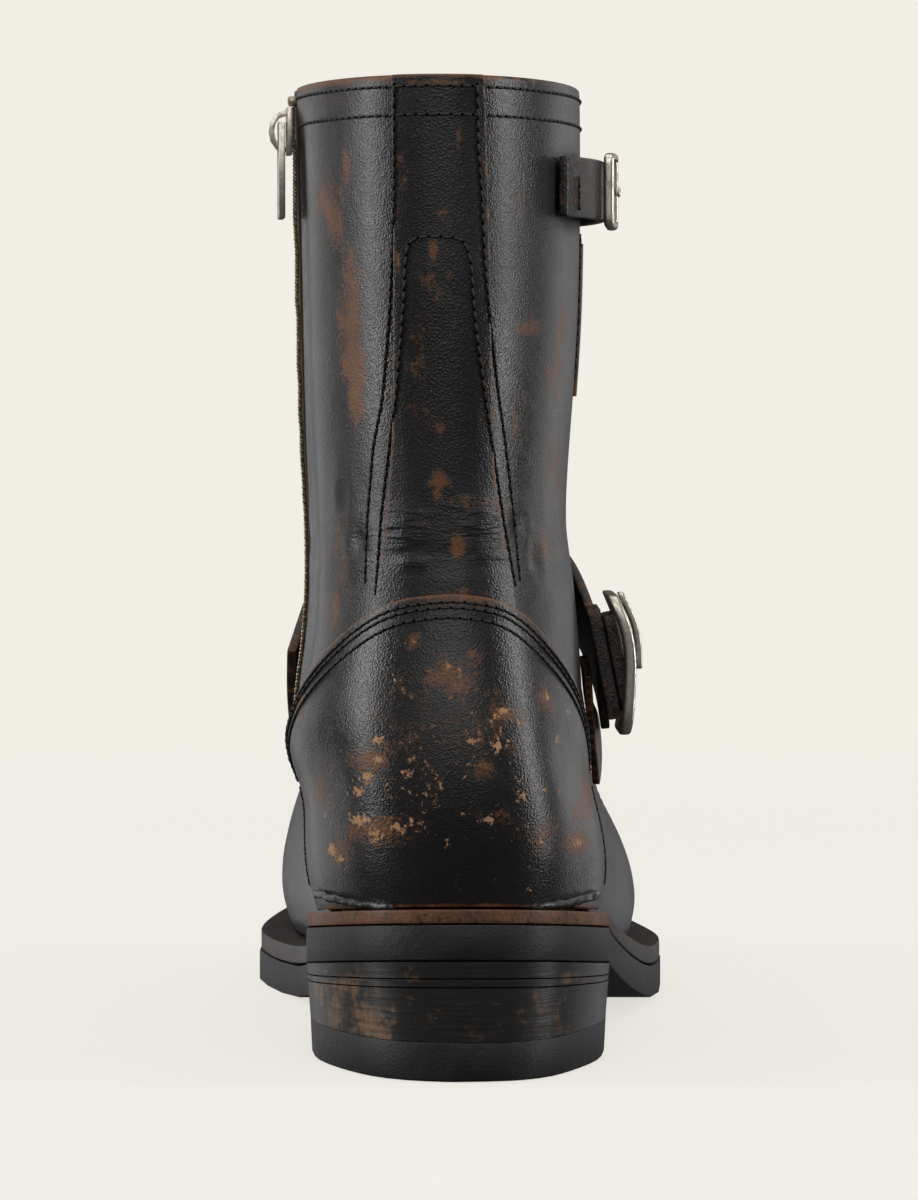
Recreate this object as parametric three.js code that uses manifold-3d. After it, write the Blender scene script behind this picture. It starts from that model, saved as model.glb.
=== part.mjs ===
// A right engineer boot: leather upper on a last, welted sole with a stacked heel, side zip, two buckled
// straps. Millimetres, +Z up, toe towards +Y, outer (lateral) side towards +X, standing on z = 0.
import * as THREE from "three";
import Module from "manifold-3d";
import { mergeVertices } from "three/addons/utils/BufferGeometryUtils.js";

// Sole and heel
const soleLength = 302;
const ballWidth = 105.5;
const weltMargin = 8.3;
const weltMarginHeel = 5;
const toeRadius = 33;
const heelRadius = 28;
const outsoleThickness = 8;
const weltThicknessBall = 4.7;
const weltThicknessHeel = 3.2;
const weltInside = 9;
const topLiftHeight = 9;
const heelStackHeight = 18.3;
const heelDepth = 72;
const heelTaper = 1.3;
const taperAboveTopLift = 0.67;
const toeSpring = 8;
const treadFrom = 0.58;
const treadTo = 0.7;
const seam = 0.3;

// Upper
const upperWall = 2.4;
const insoleThickness = 3;
const insoleGap = 0.8;
const instepRise = 92;
const ankleRise = 83;
const collarHeight = 226;
const collarWidth = 67.6;
const collarLean = 5.8;
const toeInflare = 9;

const seatZ = topLiftHeight + heelStackHeight + outsoleThickness + weltThicknessHeel + 3 * seam;
const ballZ = outsoleThickness + weltThicknessBall + 2 * seam;

// Half widths of the last's bottom as shares of the upper's half width at the ball, at shares of the
// length.
const lastOutline = [
  { at: 0.06, medial: 0.54, lateral: 0.5 },
  { at: 0.14, medial: 0.71, lateral: 0.645 },
  { at: 0.25, medial: 0.725, lateral: 0.675 },
  { at: 0.4, medial: 0.62, lateral: 0.745 },
  { at: 0.53, medial: 0.74, lateral: 0.88 },
  { at: 0.64, medial: 0.94, lateral: 1.005 },
  { at: 0.72, medial: 1.005, lateral: 0.98 },
  { at: 0.82, medial: 0.9, lateral: 0.86 },
  { at: 0.91, medial: 0.685, lateral: 0.64 },
];

// How high the seat of the last stands, as shares of the drop from heel to ball, at shares of the sole's
// length.
const archProfile = [
  { at: 0, high: 1 },
  { at: 0.12, high: 0.84 },
  { at: 0.24, high: 0.68 },
  { at: 0.36, high: 0.42 },
  { at: 0.47, high: 0.15 },
  { at: 0.53, high: 0.035 },
  { at: treadFrom, high: 0 },
];

// One row per ring round the upper, from the feather edge to the collar. frontY and backY are shares of
// the sole's length. frontRise runs from the ball's seat (0) over the instep (1) to the collar (2), and
// backRise from the heel seat (0) over the ankle (1) to the collar (2). medial and lateral are shares of
// the ring's half width, which goes from the ball's to the collar's with shaft. follow is how much of the
// sole's dip the ring keeps, sag how far its sides hang, as a share of the instep's rise, nose how blunt
// its front is, and lean a share of the collar's lean.
const ring = (frontY, frontRise, backY, backRise, medial, lateral, shaft, follow, sag, nose, lean) => ({
  frontY, frontRise, backY, backRise, medial, lateral, shaft, follow, sag, nose, lean,
});
const rings = [
  ring(0.972, 0.07, 0.0165, 0, 1, 1, 0, 1, 0, 1, 0),
  ring(0.978, 0.17, 0.0095, 0.1, 1.06, 1.05, 0, 1, 0, 1, 0.02),
  ring(0.975, 0.28, 0.006, 0.2, 1.065, 1.03, 0, 0.97, 0.01, 1, 0.06),
  ring(0.953, 0.385, 0.0035, 0.3, 1.045, 0.975, 0.02, 0.9, 0.035, 1.02, 0.12),
  ring(0.907, 0.455, 0.0035, 0.39, 1.05, 0.92, 0.06, 0.8, 0.07, 1.06, 0.2),
  ring(0.838, 0.51, 0.006, 0.48, 1.09, 0.91, 0.14, 0.66, 0.105, 1.12, 0.28),
  ring(0.762, 0.575, 0.0095, 0.57, 1.13, 0.91, 0.25, 0.5, 0.13, 1.2, 0.35),
  ring(0.686, 0.665, 0.0145, 0.66, 1.095, 0.9, 0.38, 0.35, 0.14, 1.24, 0.41),
  ring(0.616, 0.78, 0.019, 0.75, 1.06, 0.88, 0.52, 0.22, 0.13, 1.22, 0.46),
  ring(0.557, 0.92, 0.0225, 0.84, 1.01, 0.87, 0.67, 0.12, 0.1, 1.16, 0.52),
  ring(0.512, 1.05, 0.025, 0.93, 0.98, 0.85, 0.8, 0.05, 0.06, 1.1, 0.6),
  ring(0.481, 1.17, 0.0255, 1.05, 0.98, 0.81, 0.9, 0, 0.03, 1.05, 0.66),
  ring(0.462, 1.34, 0.024, 1.22, 1.01, 0.86, 0.97, 0, 0.01, 1.03, 0.72),
  ring(0.453, 1.6, 0.0205, 1.52, 1.025, 0.945, 1, 0, 0, 1.03, 0.8),
  ring(0.451, 2, 0.0155, 2, 1.02, 0.98, 1, 0, 0, 1.03, 1),
];

const ringCount = 26;
const backColumns = 10;
const frontColumns = 14;
const outerColumns = 22;
const zipSlot = 8.4;
const zipTopY = 60;
const zipBottomY = 78;
const zipBottomHeight = 66;

// Overlays, zip and straps
const counterThickness = 1.9;
const counterClear = 0.5;
const counterHeight = 109.5;
const counterCorner = 67;
const counterFront = 64;
const counterFoot = 0.004;
const backstayThickness = 1.3;
const overlayGap = 1;
const zipSide = 0.5;
const zipFootGap = 3;
const zipHead = 0.995;
const zipTape = 0.8;
const zipTeethWidth = 4.6;
const zipTeethProud = 0.5;
const sliderBelowCollar = 4.5;
const sliderHeight = 11;
const sliderWidth = 8;
const sliderPlate = 1.2;
const bridgeHalf = 5;
const bridgeBar = 1.3;
const bridgeReach = 7.6;
const bridgeWidth = 1.8;
const pullWidth = 7.5;
const pullLength = 22;
const pullThickness = 1.5;
const pullClear = 0.5;
const pullBar = 1.3;
const pullHinge = 1.5;
const eyeWidth = 2.8;
const eyeLength = 6.3;
const strapThickness = 2.4;
const instepStrapWidth = 25;
const topStrapWidth = 14;
const topStrapPlace = 0.894;

// Height of the counter's top edge between its front corner (0) and the back seam (1), at shares of its
// reach.
const counterArch = [
  { at: 0, high: 1 },
  { at: 0.25, high: 0.95 },
  { at: 0.5, high: 0.75 },
  { at: 0.75, high: 0.46 },
  { at: 1, high: 0 },
];

// Half width of the backstay from the counter (0) to the collar (1), in shares of its width at the
// collar.
const backstayHalf = 10.2;
const backstayWidths = [
  { at: 0, half: 1.72 },
  { at: 0.2, half: 1.54 },
  { at: 0.4, half: 1.33 },
  { at: 0.6, half: 1.15 },
  { at: 1, half: 1 },
];

// Middle line of the instep strap: from its cut end on the medial side over the instep to the lateral
// side.
const instepPath = [
  { at: 0, u: 0.25, height: 0.366, out: 0.9 },
  { at: 0.09, u: 0.29, height: 0.412, out: 0.45 },
  { at: 0.2, u: 0.34, height: 0.463, out: 0.15 },
  { at: 0.34, u: 0.405, height: 0.505, out: 0.12 },
  { at: 0.5, u: 0.5, height: 0.5295, out: 0.21 },
  { at: 0.66, u: 0.595, height: 0.5045, out: 0.3 },
  { at: 0.8, u: 0.66, height: 0.4575, out: 0.92 },
  { at: 0.91, u: 0.71, height: 0.3975, out: 1.46 },
  { at: 1, u: 0.742, height: 0.3575, out: 1.5 },
];

// Middle line of the buckle's strap on the lateral side, from its foot up under the instep strap.
const bucklePath = [
  { at: 0, u: 0.752, height: 0.295, out: 0.75 },
  { at: 0.15, u: 0.751, height: 0.309, out: 0.55 },
  { at: 0.35, u: 0.748, height: 0.33, out: 0.2 },
  { at: 1, u: 0.735, height: 0.3925, out: 0.12 },
];

// Middle line of the top strap, along the lateral side of the shaft.
const topPath = [
  { at: 0, u: 0.815, out: 0 },
  { at: 0.35, u: 0.77, out: 1.3 },
  { at: 0.68, u: 0.7, out: 0.85 },
  { at: 1, u: 0.62, out: 0 },
].map((row) => ({ ...row, height: topStrapPlace }));
const buckleStrapWidth = 21;
const buckleStrapThickness = 2;
const instepBuckleLength = 34;
const instepBuckleWidth = 32;
const instepBuckleBar = 3.4;
const buckleThickness = 2.9;
const instepBuckleU = 0.738;
const instepBucklePlace = 0.3975;
const topBuckleLength = 20;
const topBuckleBar = 1.8;
const topBuckleThickness = 2.4;
const topBuckleU = 0.765;
const prongWidth = 2.4;
const prongThickness = 1.8;

// How far each frame stands off the upper, in shares of its stand, from its lower or rear end (0) to the
// other (1).
const instepBow = [
  { at: 0, out: 0.86 },
  { at: 0.12, out: 0.94 },
  { at: 0.5, out: 1 },
  { at: 0.75, out: 0.92 },
  { at: 0.88, out: 0.73 },
  { at: 1, out: 0.55 },
];
const topBow = [
  { at: 0, out: 0.86 },
  { at: 0.5, out: 1 },
  { at: 1, out: 0.86 },
];
const instepBuckleStand = 10.2;
const topBuckleStand = 6.5;

const counterSteps = 24;
const counterRows = 8;
const backstayColumns = 6;
const backstayRows = 12;
const heelColumns = 14;
const heelRim = 120;
const zipSteps = 20;
const strapSteps = 32;
const topStrapSteps = 16;
const buckleStrapSteps = 12;
const strapColumns = 4;
const liftShares = [0.67, 0.78, 1];

// A column of a table, read smoothly between its rows.
function along(rows, place, column) {
  const last = rows.length - 1;
  let row = 0;
  const at = (i) => rows[i].at ?? i / last;
  while (row < last - 1 && place > at(row + 1)) row += 1;
  const value = (i) => rows[Math.min(last, Math.max(0, i))][column];
  const where = (i) => at(Math.min(last, Math.max(0, i)));
  const width = where(row + 1) - where(row);
  const t = THREE.MathUtils.clamp((place - where(row)) / width, 0, 1);
  const slope = (i) => {
    const span = where(i + 1) - where(i - 1);
    return (width * (value(i + 1) - value(i - 1))) / span;
  };
  const [a, b] = [value(row), value(row + 1)];
  const [slopeA, slopeB] = [slope(row), slope(row + 1)];
  const rise = b - a;
  return a + t * (slopeA + t * (3 * rise - 2 * slopeA - slopeB + t * (slopeA + slopeB - 2 * rise)));
}

// The plan of the foot: its middle bends inwards at the toe.
const upperHalf = ballWidth / 2 - weltMargin;
const toeBend = (y) => -toeInflare * Math.max(0, (y / soleLength - 0.45) / 0.55) ** 2;

// Top face of the welt, which the last sits on.
function seatHeight(y) {
  const share = THREE.MathUtils.clamp(y / soleLength, 0, 1);
  const high = share > treadFrom ? 0 : along(archProfile, share, "high");
  const spring = toeSpring * Math.max(0, (share - treadTo) / (1 - treadTo)) ** 2;
  return ballZ + (seatZ - ballZ) * high + spring;
}

// How much fuller than an ellipse the last's outline is at a share of its length.
function fullness(share, side) {
  const round = (radius) => Math.sqrt((radius * soleLength) / 2) / upperHalf;
  const rows = lastOutline.map((row) => ({
    at: row.at,
    full: row[side] / (2 * Math.sqrt(row.at * (1 - row.at))),
  }));
  const ends = [{ at: 0, full: round(heelRadius) }, ...rows, { at: 1, full: round(toeRadius) }];
  return along(ends, THREE.MathUtils.clamp(share, 0, 1), "full");
}

// The outside of the upper. u runs round the foot from the heel over the medial side, toe and lateral
// side, and v from the feather edge to the collar.
function upperPoint(u, v) {
  const read = (column) => along(rings, v, column);
  const turn = 2 * Math.PI * u;
  const share = (1 - Math.cos(turn)) / 2;
  const side = Math.sin(turn) >= 0 ? "medial" : "lateral";
  const shaft = read("shaft");
  const backY = read("backY") * soleLength;
  const frontY = read("frontY") * soleLength;
  const y = backY + (frontY - backY) * share;
  const rise = (amount, low, bend) =>
    amount < 1 ? low + (bend - low) * amount : bend + (collarHeight - bend) * (amount - 1);
  const backZ = rise(read("backRise"), seatZ, seatZ + ankleRise);
  const frontZ = rise(read("frontRise"), ballZ, ballZ + instepRise);
  const seat = seatHeight(y) - seatHeight(backY) * (1 - share) - seatHeight(frontY) * share;
  const sag = read("sag") * instepRise * 4 * share * (1 - share);
  const z = backZ * (1 - share) + frontZ * share + read("follow") * seat - sag;
  const foot = fullness(y / soleLength, side);
  const full = THREE.MathUtils.lerp(foot, 1, shaft) * (1 + (read("nose") - 1) * share ** 4);
  const half = THREE.MathUtils.lerp(upperHalf, collarWidth / 2, shaft) * read(side);
  const lean = -collarLean * read("lean");
  const middle = lean * (1 - share * (1 - shaft)) + toeBend(y) * (1 - shaft);
  const x = middle - half * Math.sin(turn) * full;
  return new THREE.Vector3(x, y, z);
}

// The same surface moved out by a distance, along its own normal.
function skin(u, v, out) {
  const step = 1e-3;
  const low = Math.max(0, v - step);
  const high = Math.min(1, v + step);
  const around = upperPoint(u + step, v).sub(upperPoint(u - step, v));
  const up = upperPoint(u, high).sub(upperPoint(u, low));
  const normal = up.cross(around).normalize();
  return upperPoint(u, v).addScaledVector(normal, out);
}

// A closed solid from two grids of points: the outer face, the inner face and walls where the cells end.
function shell(outer, inner, wraps, kept = () => true) {
  const rows = outer.length;
  const columns = outer[0].length;
  const points = [...outer.flat(), ...inner.flat()];
  const index = (face, j, i) => face * rows * columns + j * columns + (i % columns);
  const cellsAcross = wraps ? columns : columns - 1;
  const inside = (j, i) => {
    if (j < 0 || j >= rows - 1) return false;
    if (!wraps && (i < 0 || i >= cellsAcross)) return false;
    return kept(j, (i + cellsAcross) % cellsAcross);
  };
  const triangles = [];
  const quad = (a, b, c, d) => triangles.push(a, b, c, a, c, d);
  for (let j = 0; j < rows - 1; j += 1) {
    for (let i = 0; i < cellsAcross; i += 1) {
      if (!inside(j, i)) continue;
      const corner = (face, dj, di) => index(face, j + dj, i + di);
      quad(corner(0, 0, 0), corner(0, 1, 0), corner(0, 1, 1), corner(0, 0, 1));
      quad(corner(1, 0, 0), corner(1, 0, 1), corner(1, 1, 1), corner(1, 1, 0));
      if (!inside(j - 1, i)) quad(corner(0, 0, 0), corner(0, 0, 1), corner(1, 0, 1), corner(1, 0, 0));
      if (!inside(j + 1, i)) quad(corner(0, 1, 1), corner(0, 1, 0), corner(1, 1, 0), corner(1, 1, 1));
      if (!inside(j, i - 1)) quad(corner(0, 1, 0), corner(0, 0, 0), corner(1, 0, 0), corner(1, 1, 0));
      if (!inside(j, i + 1)) quad(corner(0, 0, 1), corner(0, 1, 1), corner(1, 1, 1), corner(1, 0, 1));
    }
  }
  return solid(points, triangles);
}

// A closed mesh, its triangles turned round if they face inwards.
function solid(points, triangles) {
  let volume = 0;
  for (let i = 0; i < triangles.length; i += 3) {
    const [a, b, c] = triangles.slice(i, i + 3).map((place) => points[place]);
    volume += a.dot(b.clone().cross(c));
  }
  const geometry = new THREE.BufferGeometry();
  const flat = points.flatMap((point) => [point.x, point.y, point.z]);
  geometry.setAttribute("position", new THREE.Float32BufferAttribute(flat, 3));
  geometry.setIndex(volume < 0 ? triangles.reverse() : triangles);
  return geometry;
}

// The last's outline in plan, as a loop of points, moved out sideways by a distance that may change along
// the foot.
function outline(count, out) {
  const loop = [];
  for (let i = 0; i < count; i += 1) {
    const at = (u) => upperPoint(u, 0).setZ(0);
    const u = i / count;
    const round = at(u + 1e-3).sub(at(u - 1e-3)).normalize();
    const outward = new THREE.Vector3(-round.y, round.x, 0);
    const point = at(u);
    loop.push(point.addScaledVector(outward, out(point.y)));
  }
  return loop;
}

// A plate between two loops of the same count, its faces laid in strips from side to side.
function plate(top, bottom) {
  const count = top.length;
  const points = [...top, ...bottom];
  const triangles = [];
  const quad = (a, b, c, d) => triangles.push(a, b, c, a, c, d);
  for (let i = 0; i < count; i += 1) {
    const next = (i + 1) % count;
    quad(i, next, count + next, count + i);
  }
  for (let i = 0; i < Math.floor(count / 2); i += 1) {
    const [a, b] = [i, i + 1];
    const [c, d] = [(count - i - 1) % count, (count - i) % count];
    const strip = (base, flip) => {
      const face = [a, b, c, d].filter((value, place, all) => all.indexOf(value) === place);
      for (let k = 1; k < face.length - 1; k += 1) {
        const corners = [face[0], face[k], face[k + 1]].map((value) => value + base);
        triangles.push(...(flip ? corners.reverse() : corners));
      }
    };
    strip(0, true);
    strip(count, false);
  }
  return solid(points, triangles);
}

const lifted = (loop, height) => loop.map((point) => new THREE.Vector3(point.x, point.y, height(point)));

const boot = new THREE.Group();

function add(name, geometry, colour, roughness, metalness = 0) {
  const material = new THREE.MeshStandardMaterial({ color: colour, roughness, metalness });
  const mesh = new THREE.Mesh(geometry, material);
  mesh.name = name;
  boot.add(mesh);
  return mesh;
}

// Upper
function upperGeometry() {
  const columns = backColumns + 1 + frontColumns + outerColumns;
  const zipU = (v, side) => {
    const backY = along(rings, v, "backY") * soleLength;
    const frontY = along(rings, v, "frontY") * soleLength;
    const middle = THREE.MathUtils.lerp(zipBottomY, zipTopY, v);
    const share = (middle + (side * zipSlot) / 2 - backY) / (frontY - backY);
    return Math.acos(1 - 2 * share) / (2 * Math.PI);
  };
  const place = (i, v) => {
    const [before, after] = [zipU(v, -1), zipU(v, 1)];
    if (i <= backColumns) return (before * i) / backColumns;
    if (i <= backColumns + 1 + frontColumns) {
      return THREE.MathUtils.lerp(after, 0.5, (i - backColumns - 1) / frontColumns);
    }
    return 0.5 + (0.5 * (i - backColumns - 1 - frontColumns)) / outerColumns;
  };
  const grid = (out) => {
    const rows = [];
    for (let j = 0; j <= ringCount; j += 1) {
      const v = j / ringCount;
      const row = [];
      for (let i = 0; i < columns; i += 1) {
        const u = place(i, v);
        const point = skin(u, v, out);
        if (j === 0 || j === ringCount) point.z = upperPoint(u, v).z;
        row.push(point);
      }
      rows.push(row);
    }
    return rows;
  };
  const outer = grid(0);
  const slit = (j, i) => i === backColumns && outer[j][i].z > zipBottomHeight;
  return shell(outer, grid(-upperWall), true, (j, i) => !slit(j, i));
}

add("upper", upperGeometry(), "#211e1e", 0.45);

// Sole
const soleColumns = 56;
const marginAt = (y) => {
  const share = THREE.MathUtils.smoothstep(y, soleLength * 0.25, soleLength * 0.55);
  return THREE.MathUtils.lerp(weltMarginHeel, weltMargin, share);
};
const weltAt = (y) => {
  const share = THREE.MathUtils.smoothstep(y, heelDepth, soleLength * treadFrom);
  return THREE.MathUtils.lerp(weltThicknessHeel, weltThicknessBall, share);
};
const weltTop = (point) => seatHeight(point.y) - seam;
const weltBottom = (point) => weltTop(point) - weltAt(point.y);
const outsoleTop = (point) => weltBottom(point) - seam;
const outsoleBottom = (point) => outsoleTop(point) - outsoleThickness;

const rim = outline(soleColumns, marginAt);
const weltLoops = [-weltInside, -upperWall, 0].map((out) => outline(soleColumns, () => out)).concat([rim]);
const weltFace = (height) => weltLoops.map((loop) => lifted(loop, height));
add("welt", shell(weltFace(weltTop), weltFace(weltBottom), true), "#3a2a22", 0.6);
add("outsole", plate(lifted(rim, outsoleTop), lifted(rim, outsoleBottom)), "#17161a", 0.7);

const insoleLoop = outline(soleColumns, () => -upperWall - insoleGap);
const insoleTop = (point) => seatHeight(point.y) + insoleThickness;
const insoleBottom = (point) => seatHeight(point.y);
add("insole", plate(lifted(insoleLoop, insoleTop), lifted(insoleLoop, insoleBottom)), "#8a6a4a", 0.8);

// Heel: loops round the back of the sole that end at the breast, drawn in a little towards the floor.
function heelLoop(height, inset) {
  const columns = 2 * heelColumns + 1;
  const loop = [];
  for (let i = 0; i < columns; i += 1) {
    const turn = (i - heelColumns) / heelColumns;
    const edge = outline(heelRim, (y) => marginAt(y) - inset);
    const place = Math.abs(turn) * heelEdge(edge);
    const low = Math.floor(place);
    const index = (step) => (turn < 0 ? (heelRim - low - step) % heelRim : low + step);
    loop.push(edge[index(0)].clone().lerp(edge[index(1)], place - low));
  }
  const ordered = [...loop.slice(heelColumns), ...loop.slice(0, heelColumns)];
  return lifted(ordered, height);
}

function heelEdge(edge) {
  let place = 0;
  while (edge[place + 1].y < heelDepth) place += 1;
  return place + (heelDepth - edge[place].y) / (edge[place + 1].y - edge[place].y);
}

const stackTop = (point) => outsoleBottom(point) - seam;
const liftFace = (share) => (point) => topLiftHeight + (stackTop(point) - topLiftHeight) * share;
liftShares.forEach((share, i) => {
  const from = i === 0 ? 0 : liftShares[i - 1];
  const inset = (at) => heelTaper * (1 - at) * taperAboveTopLift;
  const low = (point) => liftFace(from)(point) + (i === 0 ? 0 : seam);
  const name = ["heel_lift_lower", "heel_lift_middle", "heel_lift_upper"][i];
  add(name, plate(heelLoop(liftFace(share), inset(share)), heelLoop(low, inset(from))), "#2b211d", 0.55);
});
const topLiftTop = heelLoop(() => topLiftHeight, heelTaper * taperAboveTopLift);
add("top_lift", plate(topLiftTop, heelLoop(() => 0, heelTaper)), "#1b1b1d", 0.75);

// Overlays on the upper
const uAt = (y, v) => {
  const backY = along(rings, v, "backY") * soleLength;
  const frontY = along(rings, v, "frontY") * soleLength;
  const share = THREE.MathUtils.clamp((y - backY) / (frontY - backY), 0, 1);
  return Math.acos(1 - 2 * share) / (2 * Math.PI);
};

// How far up the upper a height is reached, at one place round it.
function vAt(u, z) {
  let [low, high] = [0, 1];
  for (let i = 0; i < 30; i += 1) {
    const middle = (low + high) / 2;
    if (upperPoint(u, middle).z < z) low = middle;
    else high = middle;
  }
  return (low + high) / 2;
}

// A sheet lying on the upper: place gives u and v for a share along it and a share across it.
function overlay(columns, rows, place, outAt, thickness) {
  const grid = (extra) => {
    const made = [];
    for (let j = 0; j <= rows; j += 1) {
      const row = [];
      for (let i = 0; i <= columns; i += 1) {
        const [u, v] = place(i / columns, j / rows);
        row.push(skin(u, v, outAt(i / columns) + extra));
      }
      made.push(row);
    }
    return made;
  };
  return shell(grid(thickness), grid(0), false);
}

// Counter
const counterTop = (share) => {
  const high = along(counterArch, Math.abs(share), "high");
  return counterCorner + (counterHeight - counterCorner) * high;
};
const counterPlace = (s, t) => {
  const share = 2 * s - 1;
  const side = Math.sign(share);
  let v = 0.3;
  let u = 0;
  for (let i = 0; i < 4; i += 1) {
    u = side * uAt(counterFront, v) * Math.abs(share);
    const top = vAt(u, counterTop(share));
    v = counterFoot + (top - counterFoot) * t;
  }
  return [u, v];
};
const counterSheet = overlay(counterSteps, counterRows, counterPlace, () => counterClear, counterThickness);
add("counter", counterSheet, "#242021", 0.4);

// Where the counter's top edge is, above one place round the upper.
function counterEdge(u, extra) {
  let v = 0.6;
  for (let i = 0; i < 5; i += 1) v = vAt(u, counterTop(u / uAt(counterFront, v)) + extra);
  return v;
}

// Backstay, from the counter's top edge to the collar
const backstayPlace = (s, t) => {
  const side = 2 * s - 1;
  let v = 0.8;
  let u = 0;
  for (let i = 0; i < 4; i += 1) {
    const wide = backstayHalf * along(backstayWidths, t, "half");
    const step = upperPoint(1e-3, v).distanceTo(upperPoint(0, v)) / 1e-3;
    u = (side * wide) / step;
    v = THREE.MathUtils.lerp(counterEdge(u, overlayGap), 1, t);
  }
  return [u, v];
};
const backstaySheet = overlay(backstayColumns, backstayRows, backstayPlace, () => seam, backstayThickness);
add("backstay", backstaySheet, "#1e1c1d", 0.45);

// Zip: tape and teeth in the slit, a slider with its bridge at the top, and the pull tab hanging from the
// bridge
const zipY = (v) => THREE.MathUtils.lerp(zipBottomY, zipTopY, v);
const zipPlace = (width) => (s, t) => {
  const foot = vAt(uAt(zipBottomY, 0.35), zipBottomHeight + zipFootGap);
  const v = THREE.MathUtils.lerp(foot, zipHead, t);
  return [uAt(zipY(v) + (s - 0.5) * width, v), v];
};
const tapeDepth = -upperWall + seam;
const tapeBand = overlay(2, zipSteps, zipPlace(zipSlot - 2 * zipSide), () => tapeDepth, zipTape);
add("zip_tape", tapeBand, "#151415", 0.8);
const toothFoot = tapeDepth + zipTape + seam;
const teethBand = overlay(2, zipSteps, zipPlace(zipTeethWidth), () => toothFoot, zipTeethProud - toothFoot);
add("zip_teeth", teethBand, "#8c7a58", 0.4, 0.9);

// A frame at a place on the upper: x points away from it, y forwards and z up.
function seatOn(u, v) {
  const origin = upperPoint(u, v);
  const outward = skin(u, v, 1).sub(origin).setZ(0).normalize();
  const up = new THREE.Vector3(0, 0, 1);
  const forward = up.clone().cross(outward);
  return new THREE.Matrix4().makeBasis(outward, forward, up).setPosition(origin);
}

const wasm = await Module();
wasm.setup();

function toManifold(geometry) {
  const bare = geometry.clone();
  bare.deleteAttribute("normal");
  bare.deleteAttribute("uv");
  const merged = mergeVertices(bare, 1e-4);
  const vertProperties = new Float32Array(merged.attributes.position.array);
  const triVerts = new Uint32Array(merged.index.array);
  return new wasm.Manifold(new wasm.Mesh({ numProp: 3, vertProperties, triVerts }));
}

function fromManifold(made) {
  const mesh = made.getMesh();
  const geometry = new THREE.BufferGeometry();
  geometry.setAttribute("position", new THREE.Float32BufferAttribute(mesh.vertProperties, 3));
  geometry.setIndex(Array.from(mesh.triVerts));
  return geometry;
}

// A flat shape in the plane of x and z, given its width along y, centred on y = 0.
function slice(shape, width) {
  const geometry = new THREE.ExtrudeGeometry(shape, { depth: width, bevelEnabled: false, curveSegments: 6 });
  geometry.translate(0, 0, -width / 2);
  return geometry.rotateX(Math.PI / 2);
}

function box(x0, x1, width, z0, z1) {
  const geometry = new THREE.BoxGeometry(x1 - x0, width, z1 - z0);
  return geometry.translate((x0 + x1) / 2, 0, (z0 + z1) / 2);
}

const sliderV = vAt(uAt(zipY(0.95), 0.95), collarHeight - sliderBelowCollar - sliderHeight / 2);
const sliderSeat = seatOn(uAt(zipY(sliderV), sliderV), sliderV);
const sliderFoot = zipTeethProud + seam;
const sliderFace = sliderFoot + sliderPlate;
const bridgeShape = new THREE.Shape();
bridgeShape.moveTo(sliderFace - seam, -bridgeHalf);
bridgeShape.lineTo(sliderFace, -bridgeHalf);
bridgeShape.bezierCurveTo(bridgeReach, -bridgeHalf, bridgeReach, bridgeHalf, sliderFace, bridgeHalf);
bridgeShape.lineTo(sliderFace - seam, bridgeHalf);
const bridgeInner = bridgeReach - bridgeBar * 1.3;
const bridgeEnd = bridgeHalf - bridgeBar;
bridgeShape.lineTo(sliderFace - seam, bridgeEnd);
bridgeShape.lineTo(sliderFace, bridgeEnd);
bridgeShape.bezierCurveTo(bridgeInner, bridgeEnd, bridgeInner, -bridgeEnd, sliderFace, -bridgeEnd);
bridgeShape.lineTo(sliderFace - seam, -bridgeEnd);
const body = box(sliderFoot, sliderFace, sliderWidth, -sliderHeight / 2, sliderHeight / 2);
const slider = fromManifold(toManifold(body).add(toManifold(slice(bridgeShape, bridgeWidth))));
add("zip_slider", slider.applyMatrix4(sliderSeat), "#8d857a", 0.35, 0.95);

// The pull's eye goes round the bridge: its crossbar lies between bridge and slider, on the hinge's axis.
const pullX = sliderFace + pullClear + pullThickness / 2;
const pullShape = new THREE.Shape();
const pullHalf = pullWidth / 2;
pullShape.moveTo(-pullHalf, pullBar / 2);
pullShape.lineTo(-pullHalf, -pullLength);
pullShape.lineTo(pullHalf, -pullLength);
pullShape.lineTo(pullHalf, pullBar / 2);
pullShape.closePath();
const eye = new THREE.Path();
eye.moveTo(-eyeWidth / 2, -pullBar / 2);
eye.lineTo(eyeWidth / 2, -pullBar / 2);
eye.lineTo(eyeWidth / 2, -pullBar / 2 - eyeLength);
eye.lineTo(-eyeWidth / 2, -pullBar / 2 - eyeLength);
eye.closePath();
pullShape.holes.push(eye);
const pull = new THREE.ExtrudeGeometry(pullShape, { depth: pullThickness, bevelEnabled: false });
pull.translate(0, 0, -pullThickness / 2).rotateX(Math.PI / 2).rotateZ(Math.PI / 2);
pull.translate(pullX, 0, pullHinge);
add("zip_pull", pull.applyMatrix4(sliderSeat), "#8d857a", 0.35, 0.95);

// Straps: a band of constant width walks over the upper from its middle line.
function walk(u, v, heading, distance) {
  const steps = 3;
  for (let i = 0; i < steps; i += 1) {
    const e = 1e-3;
    const acrossU = upperPoint(u + e, v).sub(upperPoint(u - e, v)).divideScalar(2 * e);
    const acrossV = upperPoint(u, Math.min(1, v + e)).sub(upperPoint(u, v - e)).divideScalar(2 * e);
    const [uu, uv, vv] = [acrossU.dot(acrossU), acrossU.dot(acrossV), acrossV.dot(acrossV)];
    const [hu, hv] = [heading.dot(acrossU), heading.dot(acrossV)];
    const area = uu * vv - uv * uv;
    u += ((hu * vv - hv * uv) / area) * (distance / steps);
    v += ((hv * uu - hu * uv) / area) * (distance / steps);
  }
  return [u, v];
}

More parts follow.
